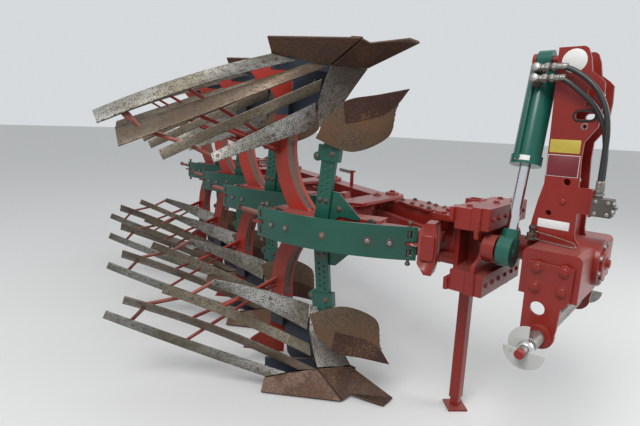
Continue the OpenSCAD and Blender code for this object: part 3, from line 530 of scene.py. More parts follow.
# %% Strip behind the joint of share and point
# Three lines across the joint, each from the share's upper edge down to its lower edge
JOINT_LINES = np.array([[[-402, -190, 119], [-228, -200, 6]], [[-381, -170, 123], [-190, -171, 7]],
                        [[-360, -146, 124], [-189, -158, 10]]], float)
JOINT_BACK, JOINT_T = 1.2, 5.0               # how far behind the joint the strip starts, its thickness
along = JOINT_LINES[2] - JOINT_LINES[0]
down = JOINT_LINES[1, 1] - JOINT_LINES[1, 0]
out = np.cross(along.mean(axis=0), down)
out /= np.linalg.norm(out)
out *= np.sign(out[0] - out[1])              # towards the soil: ahead and to the right
front = JOINT_LINES - JOINT_BACK * out
joint_strip = np.concatenate([front, (front - JOINT_T * out)[:, ::-1]], axis=1)
for i in BODIES:
    add_piece(f"share_joints_{i + 1}",
              [shell(at_body(points, i)) for points in (joint_strip, turned_over(joint_strip))],
              SHARE, f"carriage_{i + 1}")
print("strip behind the joint:", round(float(np.linalg.norm(down))), "mm long")

# %% [markdown]
# A skimmer is a small plough ahead of the big one: a curved board with its own share bolted
# along its lower edge. The board could be bent from a flat plane with modifiers, but its edge
# would wander. Its surface goes through four measured rows of points instead. Catmull and
# Rom's cubic passes through every row, so the board stays where the solid is and turns smooth.

# %% Skimmers
# Four rows from the point back to the wing, each from its low edge to its high edge
SKIMMER = np.array([
    [[-11, 2, 234], [-45, -14, 290], [-62, -21, 319], [-79, -27, 348]],
    [[-121, -105, 269], [-112, -66, 350], [-104, -38, 414], [-106, -16, 470]],
    [[-231, -212, 304], [-226, -194, 400], [-220, -178, 480], [-217, -160, 552]],
    [[-330, -262, 400], [-340, -267, 432], [-352, -268, 462], [-372, -268, 491]]], float)
SKIM_T = 8.0
FINE_ROWS, FINE_COLS = 20, 100               # steps from one measured row or column to the next


def spline(rows, steps):
    """Catmull and Rom's cubic through the rows: 0.5 (2b + (c-a)t + (2a-5b+4c-d)t^2 + (3b-a-3c+d)t^3)."""
    rows = np.asarray(rows, float)
    at = np.linspace(0, len(rows) - 1, steps)
    k = np.minimum(at.astype(int), len(rows) - 2)
    t = (at - k).reshape((-1,) + (1,) * (rows.ndim - 1))
    a, b = rows[np.maximum(k - 1, 0)], rows[k]
    c, d = rows[k + 1], rows[np.minimum(k + 2, len(rows) - 1)]
    return 0.5 * (2 * b + (c - a) * t + (2 * a - 5 * b + 4 * c - d) * t ** 2 + (3 * b - a - 3 * c + d) * t ** 3)


def skimmer_grid(rows, columns):
    """Points of the surface at given places along and across, both counted in its rows and columns."""
    fine = spline(SKIMMER, 3 * FINE_ROWS + 1)
    at = np.clip(np.round(rows * FINE_ROWS).astype(int), 0, 3 * FINE_ROWS)
    across = spline(fine[at].transpose(1, 0, 2), 3 * FINE_COLS + 1)
    return across[(columns * FINE_COLS).astype(int)].transpose(1, 0, 2)


def soil_side(grid):
    """Unit directions off a surface towards the soil: minus along cross across, at every point."""
    face = -np.cross(np.gradient(grid, axis=0), np.gradient(grid, axis=1))
    return face / np.linalg.norm(face, axis=2)[..., None]


def slab(grid, thick):
    """A grid surface with thickness towards the soil side: two sheets joined round their border."""
    rows, cols = grid.shape[:2]
    index = np.arange(rows * cols).reshape(rows, cols)
    quads = np.stack([index[:-1, :-1], index[1:, :-1], index[1:, 1:], index[:-1, 1:]], -1).reshape(-1, 4)
    border = np.concatenate([index[0], index[1:, -1], index[-1, -2::-1], index[-2:0:-1, 0]])
    ahead = np.roll(border, -1)
    rim = np.stack([border, ahead, ahead + rows * cols, border + rows * cols], -1)
    faces = quads.tolist() + (quads[:, ::-1] + rows * cols).tolist() + rim.tolist()
    return np.concatenate([grid.reshape(-1, 3), (grid + thick * soil_side(grid)).reshape(-1, 3)]), faces


board = skimmer_grid(np.linspace(0.12, 3, 30), np.linspace(0.72, 3, 16))
share = skimmer_grid(np.linspace(0, 2.1, 22), np.linspace(0, 1.12, 9))
share = share + 0.4 * SKIM_T * soil_side(share)          # bolted on ahead of the board
for i in BODIES:
    for name, grid, finish, nodes in (("skimmer_boards", board, SKIM, [f"skimmers_{i + 1}"]),
                                      ("skimmer_shares", share, SKIM_SHARE, [])):
        points, faces = slab(grid, SKIM_T)
        break_edges(add_piece(f"{name}_{i + 1}",
                              [(at_body(p, i), faces) for p in (points, turned_over(points))],
                              finish, f"carriage_{i + 1}", nodes))
print("skimmers: boards of", board.shape[:2], "points, shares of", share.shape[:2])

# %% [markdown]
# Bolts tell the eye how big a machine is. A library bolt with its thread would be far too heavy
# here, for hundreds of them are seen from metres away. A head is a six sided profile turned
# about its axis, with its corners cut at thirty degrees, on a round washer. One function lays
# any number of them on a surface, each along its own direction, and joins them into one piece.

# %% Bolts and pins
RIGHT, FRONT, UP = (0, -1, 0), (1, 0, 0), (0, 0, 1)


def lathe(profile, sides, turn=0.0):
    """Rings of a (radius, height) profile about Z: x = r cos a, y = r sin a, z = h."""
    angle = np.arange(sides) * 2 * math.pi / sides + turn
    radius, height = np.array(profile, float).T
    grid = np.stack([radius[:, None] * np.cos(angle), radius[:, None] * np.sin(angle),
                     np.repeat(height[:, None], sides, 1)], axis=-1)
    return shell(grid)


def stood(part, where, direction):
    """A part's Z axis laid along a direction, its origin at a place."""
    points, faces = part
    turn = Vector(UP).rotation_difference(Vector(direction)).to_matrix()
    return points @ np.array(turn).T + np.asarray(where, float), faces


def hex_bolt(r=12.0, washer=True, stud=0.0):
    """A hexagon head of corner radius r, on a washer, with the end of a stud if it is a nut."""
    h = 0.62 * r
    low = 0.16 * r if washer else -1.0
    # The radius also serves as the head's turn, so that bolts of different sizes stand differently
    parts = [lathe([(0.93 * r, low), (r, low + 0.1 * h), (r, low + 0.82 * h), (0.84 * r, low + h)], 6, r)]
    if washer:
        parts.append(lathe([(1.42 * r, -1.0), (1.42 * r, 0.13 * r), (1.36 * r, 0.17 * r)], 20))
    if stud:
        parts.append(lathe([(0.5 * r, 0), (0.5 * r, low + h + stud - 2), (0.42 * r, low + h + stud)], 12))
    return parts


def cap(r, h):
    """A turned disc with a rounded rim, as on the end of a pin."""
    return [lathe([(r, -1.0), (r, 0.7 * h), (0.94 * r, 0.93 * h), (0.85 * r, h)], 32)]


def set_of(name, spots, material, body):
    """One piece from (parts, place in drawing millimetres, direction) rows."""
    made = [stood(part, where, direction) for parts, where, direction in spots for part in parts]
    return add_piece(name, [(place(points), faces) for points, faces in made], material, body)


print("a bolt head with its washer has", sum(len(faces) for points, faces in hex_bolt()), "faces")

# %% [markdown]
# The headstock is the frame at the front: a base box between two bolted side plates, the
# bearing of the turnover shaft, and the mast that stands on them. The solid has its plates and
# its holes. The bolts could be cut into the solid too, but as separate small pieces they can
# have their own steel, and they cost the solid nothing.

# %% Bolts of the headstock
BASE_TOP = AXIS_H + 75
SIDE_FACE, MAST_FACE = 320.3, 100.0          # how far out the side plates and the mast's faces stand
HITCH_H, HITCH_END = 686.0, 560              # height of the hitch pins, and how far out they end
BEARING_FRONT, BEARING_R = 137, 84           # bolt circle of the bearing
set_of("side_bolts", [(hex_bolt(19), (x, s * SIDE_FACE, z), (0, s, 0))
                      for s in SIDES for x, z in ((-40, 971), (62, 974), (-40, 888), (62, 890))],
       RED, "headstock")
set_of("mast_bolts", [(hex_bolt(13, False), (-32, s * MAST_FACE, 1222), (0, s, 0)) for s in SIDES],
       RED, "headstock")
around = np.arange(8) * math.pi / 4 + 0.39
set_of("bearing_bolts", [(hex_bolt(11), (BEARING_FRONT, BEARING_R * math.cos(a), AXIS_H + BEARING_R * math.sin(a)),
                          FRONT) for a in around], ZINC, "headstock")
set_of("shaft_cap", [(cap(74, 14), (136, 0, AXIS_H), FRONT), (hex_bolt(20), (150, 0, AXIS_H), FRONT)],
       RED, "head")
print("headstock: 8 side bolts, 2 mast bolts,", len(around), "bearing bolts")

# %% [markdown]
# The right face of the mast carries thin coloured plates. A picture laid on the mast would blur
# and would slide over its edge, so each is a real plate a millimetre thick with rounded
# corners, drawn in a little at its outer rim so that the rim catches light.

# %% Plates on the mast
def rounded_outline(x0, x1, z0, z1, corner, steps=4):
    """A rectangle in two dimensions with its corners rounded by arcs."""
    arc = np.linspace(0, math.pi / 2, steps + 1)
    points = []
    for cx, cz, start in ((x1 - corner, z1 - corner, 0), (x0 + corner, z1 - corner, 1),
                          (x0 + corner, z0 + corner, 2), (x1 - corner, z0 + corner, 3)):
        turn = arc + start * math.pi / 2
        points.append(np.column_stack([cx + corner * np.cos(turn), cz + corner * np.sin(turn)]))
    return np.concatenate(points)


def rounded_plate(centre, size, thick, corner, turn=0.0):
    """A plate on the mast's right face: its outline turned in the face, in three rings outwards."""
    w, h = size
    x, z = rounded_outline(-w / 2, w / 2, -h / 2, h / 2, corner).T
    c, s = math.cos(turn), math.sin(turn)
    flat = np.column_stack([centre[0] + c * x - s * z, 0 * x, centre[1] + s * x + c * z])
    middle = np.array([centre[0], 0, centre[1]])
    rings = [flat + (0, -MAST_FACE + 0.5, 0), flat + (0, -MAST_FACE - 0.6 * thick, 0),
             middle + 0.99 * (flat - middle) + (0, -MAST_FACE - thick, 0)]
    return shell(place(np.stack(rings)))


for name, centre, size, thick, corner, turn, finish, slot in (
        ("mast_panel_border", (-52, 1375.5), (128, 93), 0.5, 3, 0.0, LABEL, "white_paint"),
        ("mast_panel", (-52, 1375.5), (124, 89), 1.2, 3, 0.0, PANEL_RED, "red_paint"),
        ("mast_plate", (-53, 1459), (120, 56), 1.2, 3, 0.0, PLATE_YELLOW, "white_paint"),
        ("mast_foot_label", (-58, 1117), (130, 38), 0.9, 4, -0.02, LABEL, "white_paint")):
    add_piece(name, [rounded_plate(centre, size, thick, corner, turn)], finish, "headstock")
    print(name, size, "mm")
set_of("mast_disc", [([lathe([(48, -0.5), (48, 0.7), (47.2, 1.1)], 64)], (-61, -MAST_FACE, 1810), RIGHT)],
       LABEL, "headstock")

# %% [markdown]
# Grease has squeezed out round the slot near the top of the mast, and a thin steel ring lines
# the small hole below it. A dark stain in the paint would look flat from the side, so both are
# bands of real thickness: a small section carried round a closed path.

# %% Rims round the slot and the hole
SLOT_X, SLOT_Z, SLOT_HALF, SLOT_R = 6, 1588, 22, 15
HOLE_X, HOLE_Z, HOLE_R = 10, 1544, 9


def hoop(path, section):
    """A closed band: section (outward, along Y) carried round a closed path in the XZ plane."""
    middle = path.mean(axis=0)
    ahead = np.roll(path, -1, axis=0) - np.roll(path, 1, axis=0)
    out = np.column_stack([ahead[:, 1], -ahead[:, 0]])
    out /= np.linalg.norm(out, axis=1)[:, None]
    out *= np.sign(((path - middle) * out).sum(axis=1))[:, None]
    reach, y = np.array(section, float).T[..., None]
    x, z = (path + reach[..., None] * out).transpose(2, 0, 1)
    grid = np.stack([x, np.broadcast_to(y, x.shape), z], axis=-1)
    index = np.arange(x.size).reshape(x.shape)
    down, right = np.roll(index, -1, axis=0), np.roll(index, -1, axis=1)
    quads = np.stack([index, down, np.roll(down, -1, axis=1), right], axis=-1).reshape(-1, 4)
    return place(grid.reshape(-1, 3)), quads.tolist()


def mast_hoops(path, section):
    """A band on each face of the mast from rows of (outward from the path, proud of the face)."""
    return [hoop(path, [(reach, s * (MAST_FACE + proud)) for reach, proud in section]) for s in SIDES]


half_turn = np.linspace(-math.pi / 2, math.pi / 2, 13)
slot_path = np.concatenate([
    np.column_stack([SLOT_X + side * SLOT_HALF + SLOT_R * np.cos(a), SLOT_Z + SLOT_R * np.sin(a)])
    for side, a in ((1, half_turn), (-1, half_turn + math.pi))])
a = np.arange(24) * math.pi / 12
hole_path = np.column_stack([HOLE_X + HOLE_R * np.cos(a), HOLE_Z + HOLE_R * np.sin(a)])
add_piece("slot_rims", mast_hoops(slot_path, ((0.4, -1), (0.4, 4.6), (3, 5.2), (8, 4.6), (11, -1))),
          GREASE, "headstock")
add_piece("hole_rings", mast_hoops(hole_path, ((0.3, -1), (0.3, 1.2), (4, 1.4), (5.2, 0.6), (5.2, -1))),
          ZINC, "headstock")
print("rims of", len(slot_path), "and", len(hole_path), "points, on both faces")

# %% [markdown]
# A stud with its nut stands on the base box beside the mast, and a bent wire clip lies by it to
# lock a pin. A wire is a circle carried along a curve. Blender's own curve object could do it,
# but it would have to be made a mesh at the end anyway, so one function carries the circle,
# and the hoses use it again later.

# %% Stud and wire clip
CLIP_R = 2.6
CLIP = ((-133, -114, 1082), (-110, -113, 1075), (-37, -125, 1068), (34, -140, 1058), (50, -152, 1053),
        (56, -168, 1047), (46, -180, 1045), (16, -174, 1045), (-64, -152, 1045), (-115, -130, 1047),
        (-134, -118, 1056))


def tube(path, radius, sides=16):
    """A circle carried along a path: its plane is square to the path, with Y as the guide."""
    ahead = np.gradient(path, axis=0)
    ahead /= np.linalg.norm(ahead, axis=1)[:, None]
    a = np.cross(ahead, (0, 1, 0))
    a /= np.linalg.norm(a, axis=1)[:, None]
    b = np.cross(ahead, a)
    angle = np.arange(sides) * 2 * math.pi / sides
    ring = np.cos(angle)[:, None] * a[:, None] + np.sin(angle)[:, None] * b[:, None]
    return shell(path[:, None] + radius * ring)


STUD = [lathe([(26, -1), (26, 5), (24, 7)], 24),                         # washer
        lathe([(21, 6), (22, 8), (22, 26), (20, 28)], 6),                # nut
        lathe([(11, 27), (11, 42), (9, 44)], 16),                        # stud
        lathe([(12, 40), (15, 44), (16, 54), (13, 62), (6, 65)], 20)]    # knob
set_of("base_stud", [(STUD, (-135, -120, BASE_TOP), UP)], OLD_BOLT, "headstock")
points, faces = tube(spline(CLIP, 70), CLIP_R, 10)
add_piece("wire_clip", [(place(points), faces)], ZINC, "headstock")
print("wire clip:", len(points), "points")

# %% [markdown]
# A carriage carries one pair of bodies on a pack of leaf springs, which lets a leg swing back
# over a stone. The main leaf is an arc, so a bolt laid by X and Y alone would stand crooked on
# it. Places on a carriage are given in the leaf's own frame instead: along its chord, back from
# it, and up from the shaft. The arc's formula gives both the place of a bolt and its direction.

# %% The leaf spring's frame
LEAF_MID, LEAF_TURN = np.array([-276.0, -230.0, 0.0]), math.radians(15.35)
LEAF_R, LEAF_SAG = 1076.05, 100.0            # radius of the arc, and its depth behind the middle
LEAF_AXES = np.array([[math.cos(LEAF_TURN), math.sin(LEAF_TURN), 0],
                      [-math.sin(LEAF_TURN), math.cos(LEAF_TURN), 0], [0, 0, 1]])
OUTWARD = -LEAF_AXES[1]                      # off the leaf, towards the ploughed side


def leaf_point(u, v, z, i):
    """Leaf frame (along, back, up from the shaft) to drawing millimetres."""
    return np.array([u, v, z]) @ LEAF_AXES + TIP + i * STEP + LEAF_MID + (0, 0, AXIS_H)


def leaf_face(u, z, i):
    """Place and direction on the main leaf's outer face, an arc about a centre behind it."""
    depth = math.sqrt(LEAF_R ** 2 - u ** 2)
    return (leaf_point(u, LEAF_R - LEAF_SAG - depth, z, i),
            np.array([u, -depth, 0]) / LEAF_R @ LEAF_AXES)


print("front leaf's ends, in the drawing:", leaf_face(-470, 0, 0)[0].round(), leaf_face(470, 0, 0)[0].round())

# %% [markdown]
# Five bolts hold the leaves together, and a clamp at each end of the pack turns on short upright
# pins. The heads of the bolts have kept their zinc and the washers under them haven't. One
# finish for both would lose that ring of dark round each head, so they are two pieces. That dark
# ring is partly old steel and partly painted shade round the foot of each head.

# %% Bolts and pins of the leaf pack
LEAF_BOLTS = ((-331, 1), (-227, 1), (-2, -2), (230, -1), (332, -2))      # (along, up from the shaft)
CLAMP_U, CLAMP_BACK = 419, 9                 # where the clamps' pins stand, and how far behind the face
SHORT_PIN = [lathe([(8.5, -15), (8.5, 15)], 14)]
END_PIN = [lathe([(7.5, 0), (7.5, 12), (12, 15), (14, 20), (12, 26), (6, 30)], 16)]
for i in BODIES:
    body = f"carriage_{i + 1}"
    seats = [leaf_face(u, z, i) for u, z in LEAF_BOLTS]
    set_of(f"leaf_bolts_{i + 1}", [(hex_bolt(11.5, False, 3), where + 3 * out, out) for where, out in seats],
           ZINC, body)
    # Dark washers: old steel, and partly a painted shade round each bolt head
    set_of(f"leaf_washers_and_shade_{i + 1}", [(cap(19, 3.5), where, out) for where, out in seats],
           OLD_BOLT, body)
    pins = []
    for end in SIDES:
        for part, z, direction in ((SHORT_PIN, -46, UP), (SHORT_PIN, 46, UP),
                                   (END_PIN, -81, (0, 0, -1)), (END_PIN, 81, UP)):
            where, out = leaf_face(end * CLAMP_U, z, i)
            pins.append((part, where - CLAMP_BACK * out, direction))
    set_of(f"leaf_pins_{i + 1}", pins, OLD_BOLT, body)
print("leaf packs:", len(LEAF_BOLTS), "bolts and", len(pins), "pins each")

# %% [markdown]
# The skimmer's stalk is a flat bar that leans a little and is bolted to the leaf, with a clamp
# at its end. Its bolts are old and dark. They are given in the stalk's own frame and turned by
# its lean, because along the stalk they stand in straight rows, which X and Z would hide.

# %% Bolts on the stalks
STALK_LEAN = math.radians(5.5)
STALK_U, STALK_BACK = -85, 40                # the stalk's middle in the leaf's frame
STALK_BOLTS = ((-20, 0, 150), (18, 0, 150), (90, 16, 120), (20, -8, 398), (-62, -6, 376))


def stalk_point(x, y, z, side, i):
    """Stalk frame, turned by its lean, to drawing millimetres; side is 1 up or -1 down."""
    c, s = math.cos(STALK_LEAN), math.sin(STALK_LEAN)
    return leaf_point(STALK_U + x * c + z * s, STALK_BACK + y, side * (z * c - x * s), i)


for i in BODIES:
    spots = []
    for side in SIDES:
        spots += [(hex_bolt(11), stalk_point(x, y, z, side, i), OUTWARD) for x, y, z in STALK_BOLTS]
        spots += [(cap(26, 8), leaf_point(u, 80, side * 52, i), OUTWARD) for u in (-360, 190)]
    set_of(f"stalk_bolts_{i + 1}", spots, OLD_BOLT, f"carriage_{i + 1}")
print("stalk bolts:", len(spots), "on each carriage")

# %% [markdown]
# The slats are held by countersunk bolts, flush so that the soil slides over them, and tied near
# their rear ends by red rods that run behind them. A bolt's place is given as a share of the way
# along its slat and across it, so it stays on the steel however the slat bends, and its
# direction is the surface's own.

# %% Bolts and struts of the slats
FLUSH_HEAD = [lathe([(10, -1), (10, 0.7), (8.5, 1.1), (7.8, 0.5), (4, 0.6)], 16)]
# For each slat, (share of the way along, share of the way across) of its bolts
SLAT_BOLTS = (((0.035, 0.5), (0.10, 0.5), (0.60, 0.6)), ((0.035, 0.5), (0.10, 0.5), (0.60, 0.6)),
              ((0.05, 0.5), (0.14, 0.5), (0.60, 0.6)), ((0.07, 0.3), (0.07, 0.7), (0.42, 0.6)))
STRUT_AT = (0.86, 0.88, 0.84, 0.97)          # share of the way along each slat at which a strut ties it
STRUT_R, FOOT_R = 11.0, 13.0                 # the strut, and the short foot that bolts it to a slat


def slat_spot(k, u, across, up, i):
    """Place and direction on a slat's soil side: u along it, and a share of the way across it."""
    low, high = slat_edges(k, np.array([u - 0.01, u, u + 0.01]))
    middle = low + across * (high - low)
    face = -np.cross(middle[2] - middle[0], high[1] - low[1])
    face /= np.linalg.norm(face)
    spot = middle[1] + SLAT_T * face
    if up:
        spot, face = turned_over(spot), face * (1, 1, -1)
    return spot + TIP + i * STEP, face


def bar(a, b, r, sides=14):
    """A straight round bar: two rings of radius r, square to the line from a to b."""
    turn = Vector(UP).rotation_difference(Vector(b) - Vector(a)).to_matrix()
    angle = np.arange(sides) * 2 * math.pi / sides
    ring = np.stack([r * np.cos(angle), r * np.sin(angle), 0 * angle], axis=-1) @ np.array(turn).T
    return shell(place(np.stack([ring + a, ring + b])))


for i in BODIES:
    body = f"carriage_{i + 1}"
    spots, struts = [], []
    for up in (False, True):
        for k, bolts in enumerate(SLAT_BOLTS):
            spots += [(FLUSH_HEAD, *slat_spot(k, u, across, up, i))
                      for u, across in bolts + ((STRUT_AT[k] - 0.02, 0.5),)]
        seats = [slat_spot(k, STRUT_AT[k], 0.5, up, i) for k in range(len(SLATS))]
        behind = [spot - (SLAT_T + 12) * face for spot, face in seats]
        struts += [bar(a, b, STRUT_R) for a, b in zip(behind, behind[1:])]
        struts += [bar(spot - (SLAT_T - 1) * face, spot - (SLAT_T + 16) * face, FOOT_R) for spot, face in seats]
    set_of(f"slat_bolts_{i + 1}", spots, SLAT_DARK, body)
    add_piece(f"slat_struts_{i + 1}", struts, STRUT, body)
print("slats:", len(spots), "bolts and", len(struts), "bars on each carriage")

# %% [markdown]
# Each leg is a curved box that ends in a straight stub. Behind the slats a cut plate reaches out
# from that stub to steady them, and a sleeve covers the stub where the frog takes over. Both are
# flat work from a saw and a bender, so an outline with thickness is all that they need. They
# could be one solid with the leg, but they are thin trim, and no joint depends on them.

# %% Stay plates and sleeves on the legs
LEG_X, LEG_Y = -716.0, -140.0                # the leg's middle, from the share's tip
# The plate's outline as (out from the leg, height above the ground), for the lower body
STAY_PLATE = ((-20, 100), (238, 108), (212, 146), (183, 182), (130, 222), (82, 255), (56, 330),
              (42, 420), (-38, 420))
STAY_HALF = 7                                # half of the plate's thickness
STAY_DIR, STAY_SIDE = np.array([-0.794, -0.608, 0.0]), np.array([-0.608, 0.794, 0.0])
SLEEVE_X, SLEEVE_Y, SLEEVE_ENDS = 54.5, 42.0, (380.0, 528.0)


def stay_plate(half, i):
    """Both faces of the plate: leg + s out + z up, moved to each side by half its thickness."""
    s, z = np.array(STAY_PLATE, float).T[..., None]
    middle = np.array([LEG_X, LEG_Y, 0]) + s * STAY_DIR + z * np.array(UP)
    faces = np.stack([middle - STAY_HALF * STAY_SIDE, middle + STAY_HALF * STAY_SIDE])
    return at_body(turned_over(faces) if half > 0 else faces, i)


def leg_sleeve(half, i):
    """Two rectangular rings a little wider than the leg, one at each end of the sleeve."""
    corners = np.array([(-SLEEVE_X, -SLEEVE_Y), (SLEEVE_X, -SLEEVE_Y), (SLEEVE_X, SLEEVE_Y), (-SLEEVE_X, SLEEVE_Y)])
    rings = np.stack([np.column_stack([corners + (LEG_X, LEG_Y), np.full(4, z)]) for z in SLEEVE_ENDS])
    return at_body(turned_over(rings) if half > 0 else rings, i)


for i in BODIES:
    trim = [shell(make(half, i)) for make in (stay_plate, leg_sleeve) for half in SIDES]
    break_edges(add_piece(f"stay_plates_{i + 1}", trim, LEG_RED, f"carriage_{i + 1}"), 0.002)
print("stay plates and sleeves:", len(trim), "on each carriage")

# %% [markdown]
# Soil wears the leading face of a leg down to dull steel in a long shallow groove. Bump in the
# material would not change the outline of that groove, so the band is a real surface: a section
# with the groove's depth in it, carried along the leg's own arc. Near the end of the leg it
# runs out over the sleeve, and there it is almost flat.

# %% Scoured bands on the legs
LEG_R, LEG_APEX = 505.0, 430.0               # the leg's arc, and how far from the shaft it turns straight
LEG_FACE = LEG_R - 105.0 / 2                 # radius of the face that meets the soil
LEG_SWEEP = np.radians(np.linspace(-4.5, 50.5, 32))
ON_SLEEVE = LEG_SWEEP < math.radians(-0.3)
# The band's section as (depth below the face, sideways), round its outer and then its inner side
SCOUR_SECTION = ((-1.0, -35), (-1.2, -22), (1.0, -13), (4.5, -8), (5.0, 3), (1.5, 11), (-1.0, 16),
                 (2.0, 16), (7.0, 9), (7.0, -10), (2.0, -33))


def leg_point(r, y, half):
    """Points along a leg's arc of radius r, then straight along its end; half is 1 up or -1 down."""
    return np.stack([LEG_X + LEG_R - r * np.cos(np.maximum(LEG_SWEEP, 0)), np.full(len(LEG_SWEEP), LEG_Y + y),
                     AXIS_H + half * (LEG_APEX - r * np.sin(LEG_SWEEP))], axis=-1)


def scour_band(half, i):
    """The section carried along the arc; on the sleeve its depths shrink to a tenth, 3 mm further out."""
    grid = np.stack([leg_point(LEG_FACE + np.where(ON_SLEEVE, 0.1 * depth - 3.0, depth), y, half)
                     for depth, y in SCOUR_SECTION], axis=1)
    return shell(at_body(grid, i))


for i in BODIES:
    add_piece(f"leg_scours_{i + 1}", [scour_band(half, i) for half in SIDES],
              SCOUR, f"carriage_{i + 1}")
print("scoured bands:", len(LEG_SWEEP), "rows of", len(SCOUR_SECTION), "points")

# %% [markdown]
# Behind each leaf pack a round link takes the spring's pull, and a threaded rod with its nut
# sets how hard it holds. In front of the leg the carriage has a cast housing with a raised face.
# All are simple turned or cut forms, placed in the leaf's frame as the bolts are.

# %% Spring links and housing faces
LINK_H = 36
LINK_R = 15.0
TENSION_ROD = [lathe([(9, -4), (9, 92), (7, 96)], 14),
               lathe([(19, 40), (21, 43), (21, 60), (19, 63)], 6),
               lathe([(17, 2), (17, 12)], 18)]
HOUSING_U = 470.0                            # where the housing starts, along the chord
RAISED_FACE = rounded_outline(HOUSING_U + 12, HOUSING_U + 76, -60, 62, 14)
for i in BODIES:
    body = f"carriage_{i + 1}"
    spring_end, rod_end = leaf_point(-619, 96, LINK_H, i), leaf_point(-701, 160, LINK_H, i)
    add_piece(f"leaf_links_{i + 1}", [bar(leaf_point(-440, 26, LINK_H - 2, i), spring_end, LINK_R, 20)],
              STRUT, body)
    set_of(f"link_nuts_{i + 1}", [(TENSION_ROD, spring_end, (rod_end - spring_end) / 104.0)],
           OLD_BOLT, body)
    boss = np.stack([np.stack([leaf_point(u, v, z, i) for u, z in RAISED_FACE]) for v in (-48, -57, -60)])
    boss[2] = boss[2] * 0.94 + boss[2].mean(axis=0) * 0.06
    break_edges(add_piece(f"housing_faces_{i + 1}", [shell(place(boss))], RED, body), 0.002)
print("spring links", round(float(np.linalg.norm(rod_end - spring_end))), "mm from pin to rod end")

# %% [markdown]
# The beam, the turning head and the carriages are joined by upright pins, which end in thick
# round caps with a nut. They show where the plough can fold, so they are laid at the joints'
# own places: the beam's front pin, and one pin for each carriage along the beam. The beam's
# direction is a unit vector, and a distance along it gives a pin's place.

# %% Pins and bolts of the beam and the head
BEAM_PIN = np.array([-560.0, 20.0, 0.0])
BEAM_DIR, BEAM_SIDE = np.array([-0.902749, 0.430134, 0.0]), np.array([-0.430134, -0.902749, 0.0])
FIRST_PIN, TIE_PIN = 653, (-30, -130)        # first carriage's pin along the beam; the tie bar's from it
for i in BODIES:
    spots = []
    pin = BEAM_PIN + FIRST_PIN * BEAM_DIR + i * STEP
    for side in SIDES:
        level = AXIS_H + side * 112
        spots += [(cap(44, 14), pin + (0, 0, level), (0, 0, side)),
                  (hex_bolt(20, False), pin + (0, 0, level + side * 14), (0, 0, side)),
                  (cap(27, 10), pin + (*TIE_PIN, level), (0, 0, side)),
                  (hex_bolt(12, False), pin + (*TIE_PIN, level + side * 10), (0, 0, side))]
    set_of(f"pivot_caps_{i + 1}", spots, RED, f"carriage_{i + 1}")

HEAD_BOLTS = ((-390, -230, 198), (-390, 150, 198), (-330, -60, 206), (-289, 55, 206))
BEAM_BOLTS = ((175, 55), (175, -55), (250, 50), (250, -50), (330, 60), (330, -60), (455, 45), (455, -45))
head_spots, beam_spots = [], []
for side in SIDES:
    level = AXIS_H + side * 122
    head_spots += [(cap(62, 16), BEAM_PIN + (0, 0, level), (0, 0, side)),
                   (hex_bolt(26, False), BEAM_PIN + (0, 0, level + side * 16), (0, 0, side)),
                   (cap(30, 12), BEAM_PIN + (*TIE_PIN, level), (0, 0, side))]
    head_spots += [(hex_bolt(13), (x, y, AXIS_H + side * z), (0, 0, side)) for x, y, z in HEAD_BOLTS]
    head_spots += [(hex_bolt(10), (-270, y, AXIS_H + side * 155), FRONT) for y in (-240, -165, -85, 0, 85, 160)]
    beam_spots += [(hex_bolt(12, stud=4), BEAM_PIN + s * BEAM_DIR + t * BEAM_SIDE + (0, 0, AXIS_H + side * 104),
                    (0, 0, side)) for s, t in BEAM_BOLTS]
set_of("head_bolts", head_spots, RED, "head")
set_of("beam_bolts", beam_spots, OLD_BOLT, "beam")
print("head:", len(head_spots), "caps and bolts, beam:", len(beam_spots), "bolts")

# %% [markdown]
# A flat bar on a bracket stands on top of the beam, and shows how wide the furrows are set. In
# X and Y its corners would be awkward numbers. It is a plate in the beam's own directions, so
# the rounded outline from the mast serves again, laid along the beam.

# %% Scale on the beam
def beam_slab(s0, s1, z0, z1, t0, t1, corner=4):
    """A rounded plate that stands along the beam: outline in (along, up), from t0 to t1 sideways."""
    along, up = rounded_outline(s0, s1, z0, z1, corner).T
    base = BEAM_PIN + along[:, None] * BEAM_DIR + up[:, None] * UP
    return shell(place(np.stack([base + t * BEAM_SIDE for t in (t0, t1)])))


break_edges(add_piece("scale_plate", [beam_slab(1243, 1465, 1143, 1169, -3, 3)], PIN, "beam"))
break_edges(add_piece("scale_bracket", [beam_slab(1206, 1250, 1040, 1172, 3, 11),
                                        beam_slab(1206, 1250, 1160, 1172, -12, 11)], RED, "beam"))
print("scale plate:", 1465 - 1243, "mm long")

# %% [markdown]
# The cylinder's barrel leans and swings, and its two ports end in swivel elbows with heavy nuts.
# In the drawing these would be slanting everywhere. They are turned about the cylinder's own
# axis instead, with Z along it from its upper pin, and one rotation by its lean puts the whole
# set in place: y' = y cos + z sin, z' = z cos - y sin.

# %% Fittings on the cylinder
BARREL_TILT = math.radians(14.55)
CYLINDER_PIN_X, CYLINDER_PIN_H = -200, 1830
PORTS = (-77, -124)                          # down the barrel from its pin
PORT_REACH = -117                            # how far out the elbows turn forward


def barrel_place(points):
    """The cylinder's own frame, Z up along it from its pin, to model metres."""
    x, y, z = np.asarray(points, float).T
    c, s = math.cos(BARREL_TILT), math.sin(BARREL_TILT)
    return place(np.column_stack([x + CYLINDER_PIN_X, y * c + z * s, CYLINDER_PIN_H + z * c - y * s]))


def barrel_set(name, spots, material):
    """One piece from (part, place in the cylinder's frame, direction) rows."""
    made = [stood(part, where, direction) for part, where, direction in spots]
    return add_piece(name, [(barrel_place(points), faces) for points, faces in made], material, "barrel")


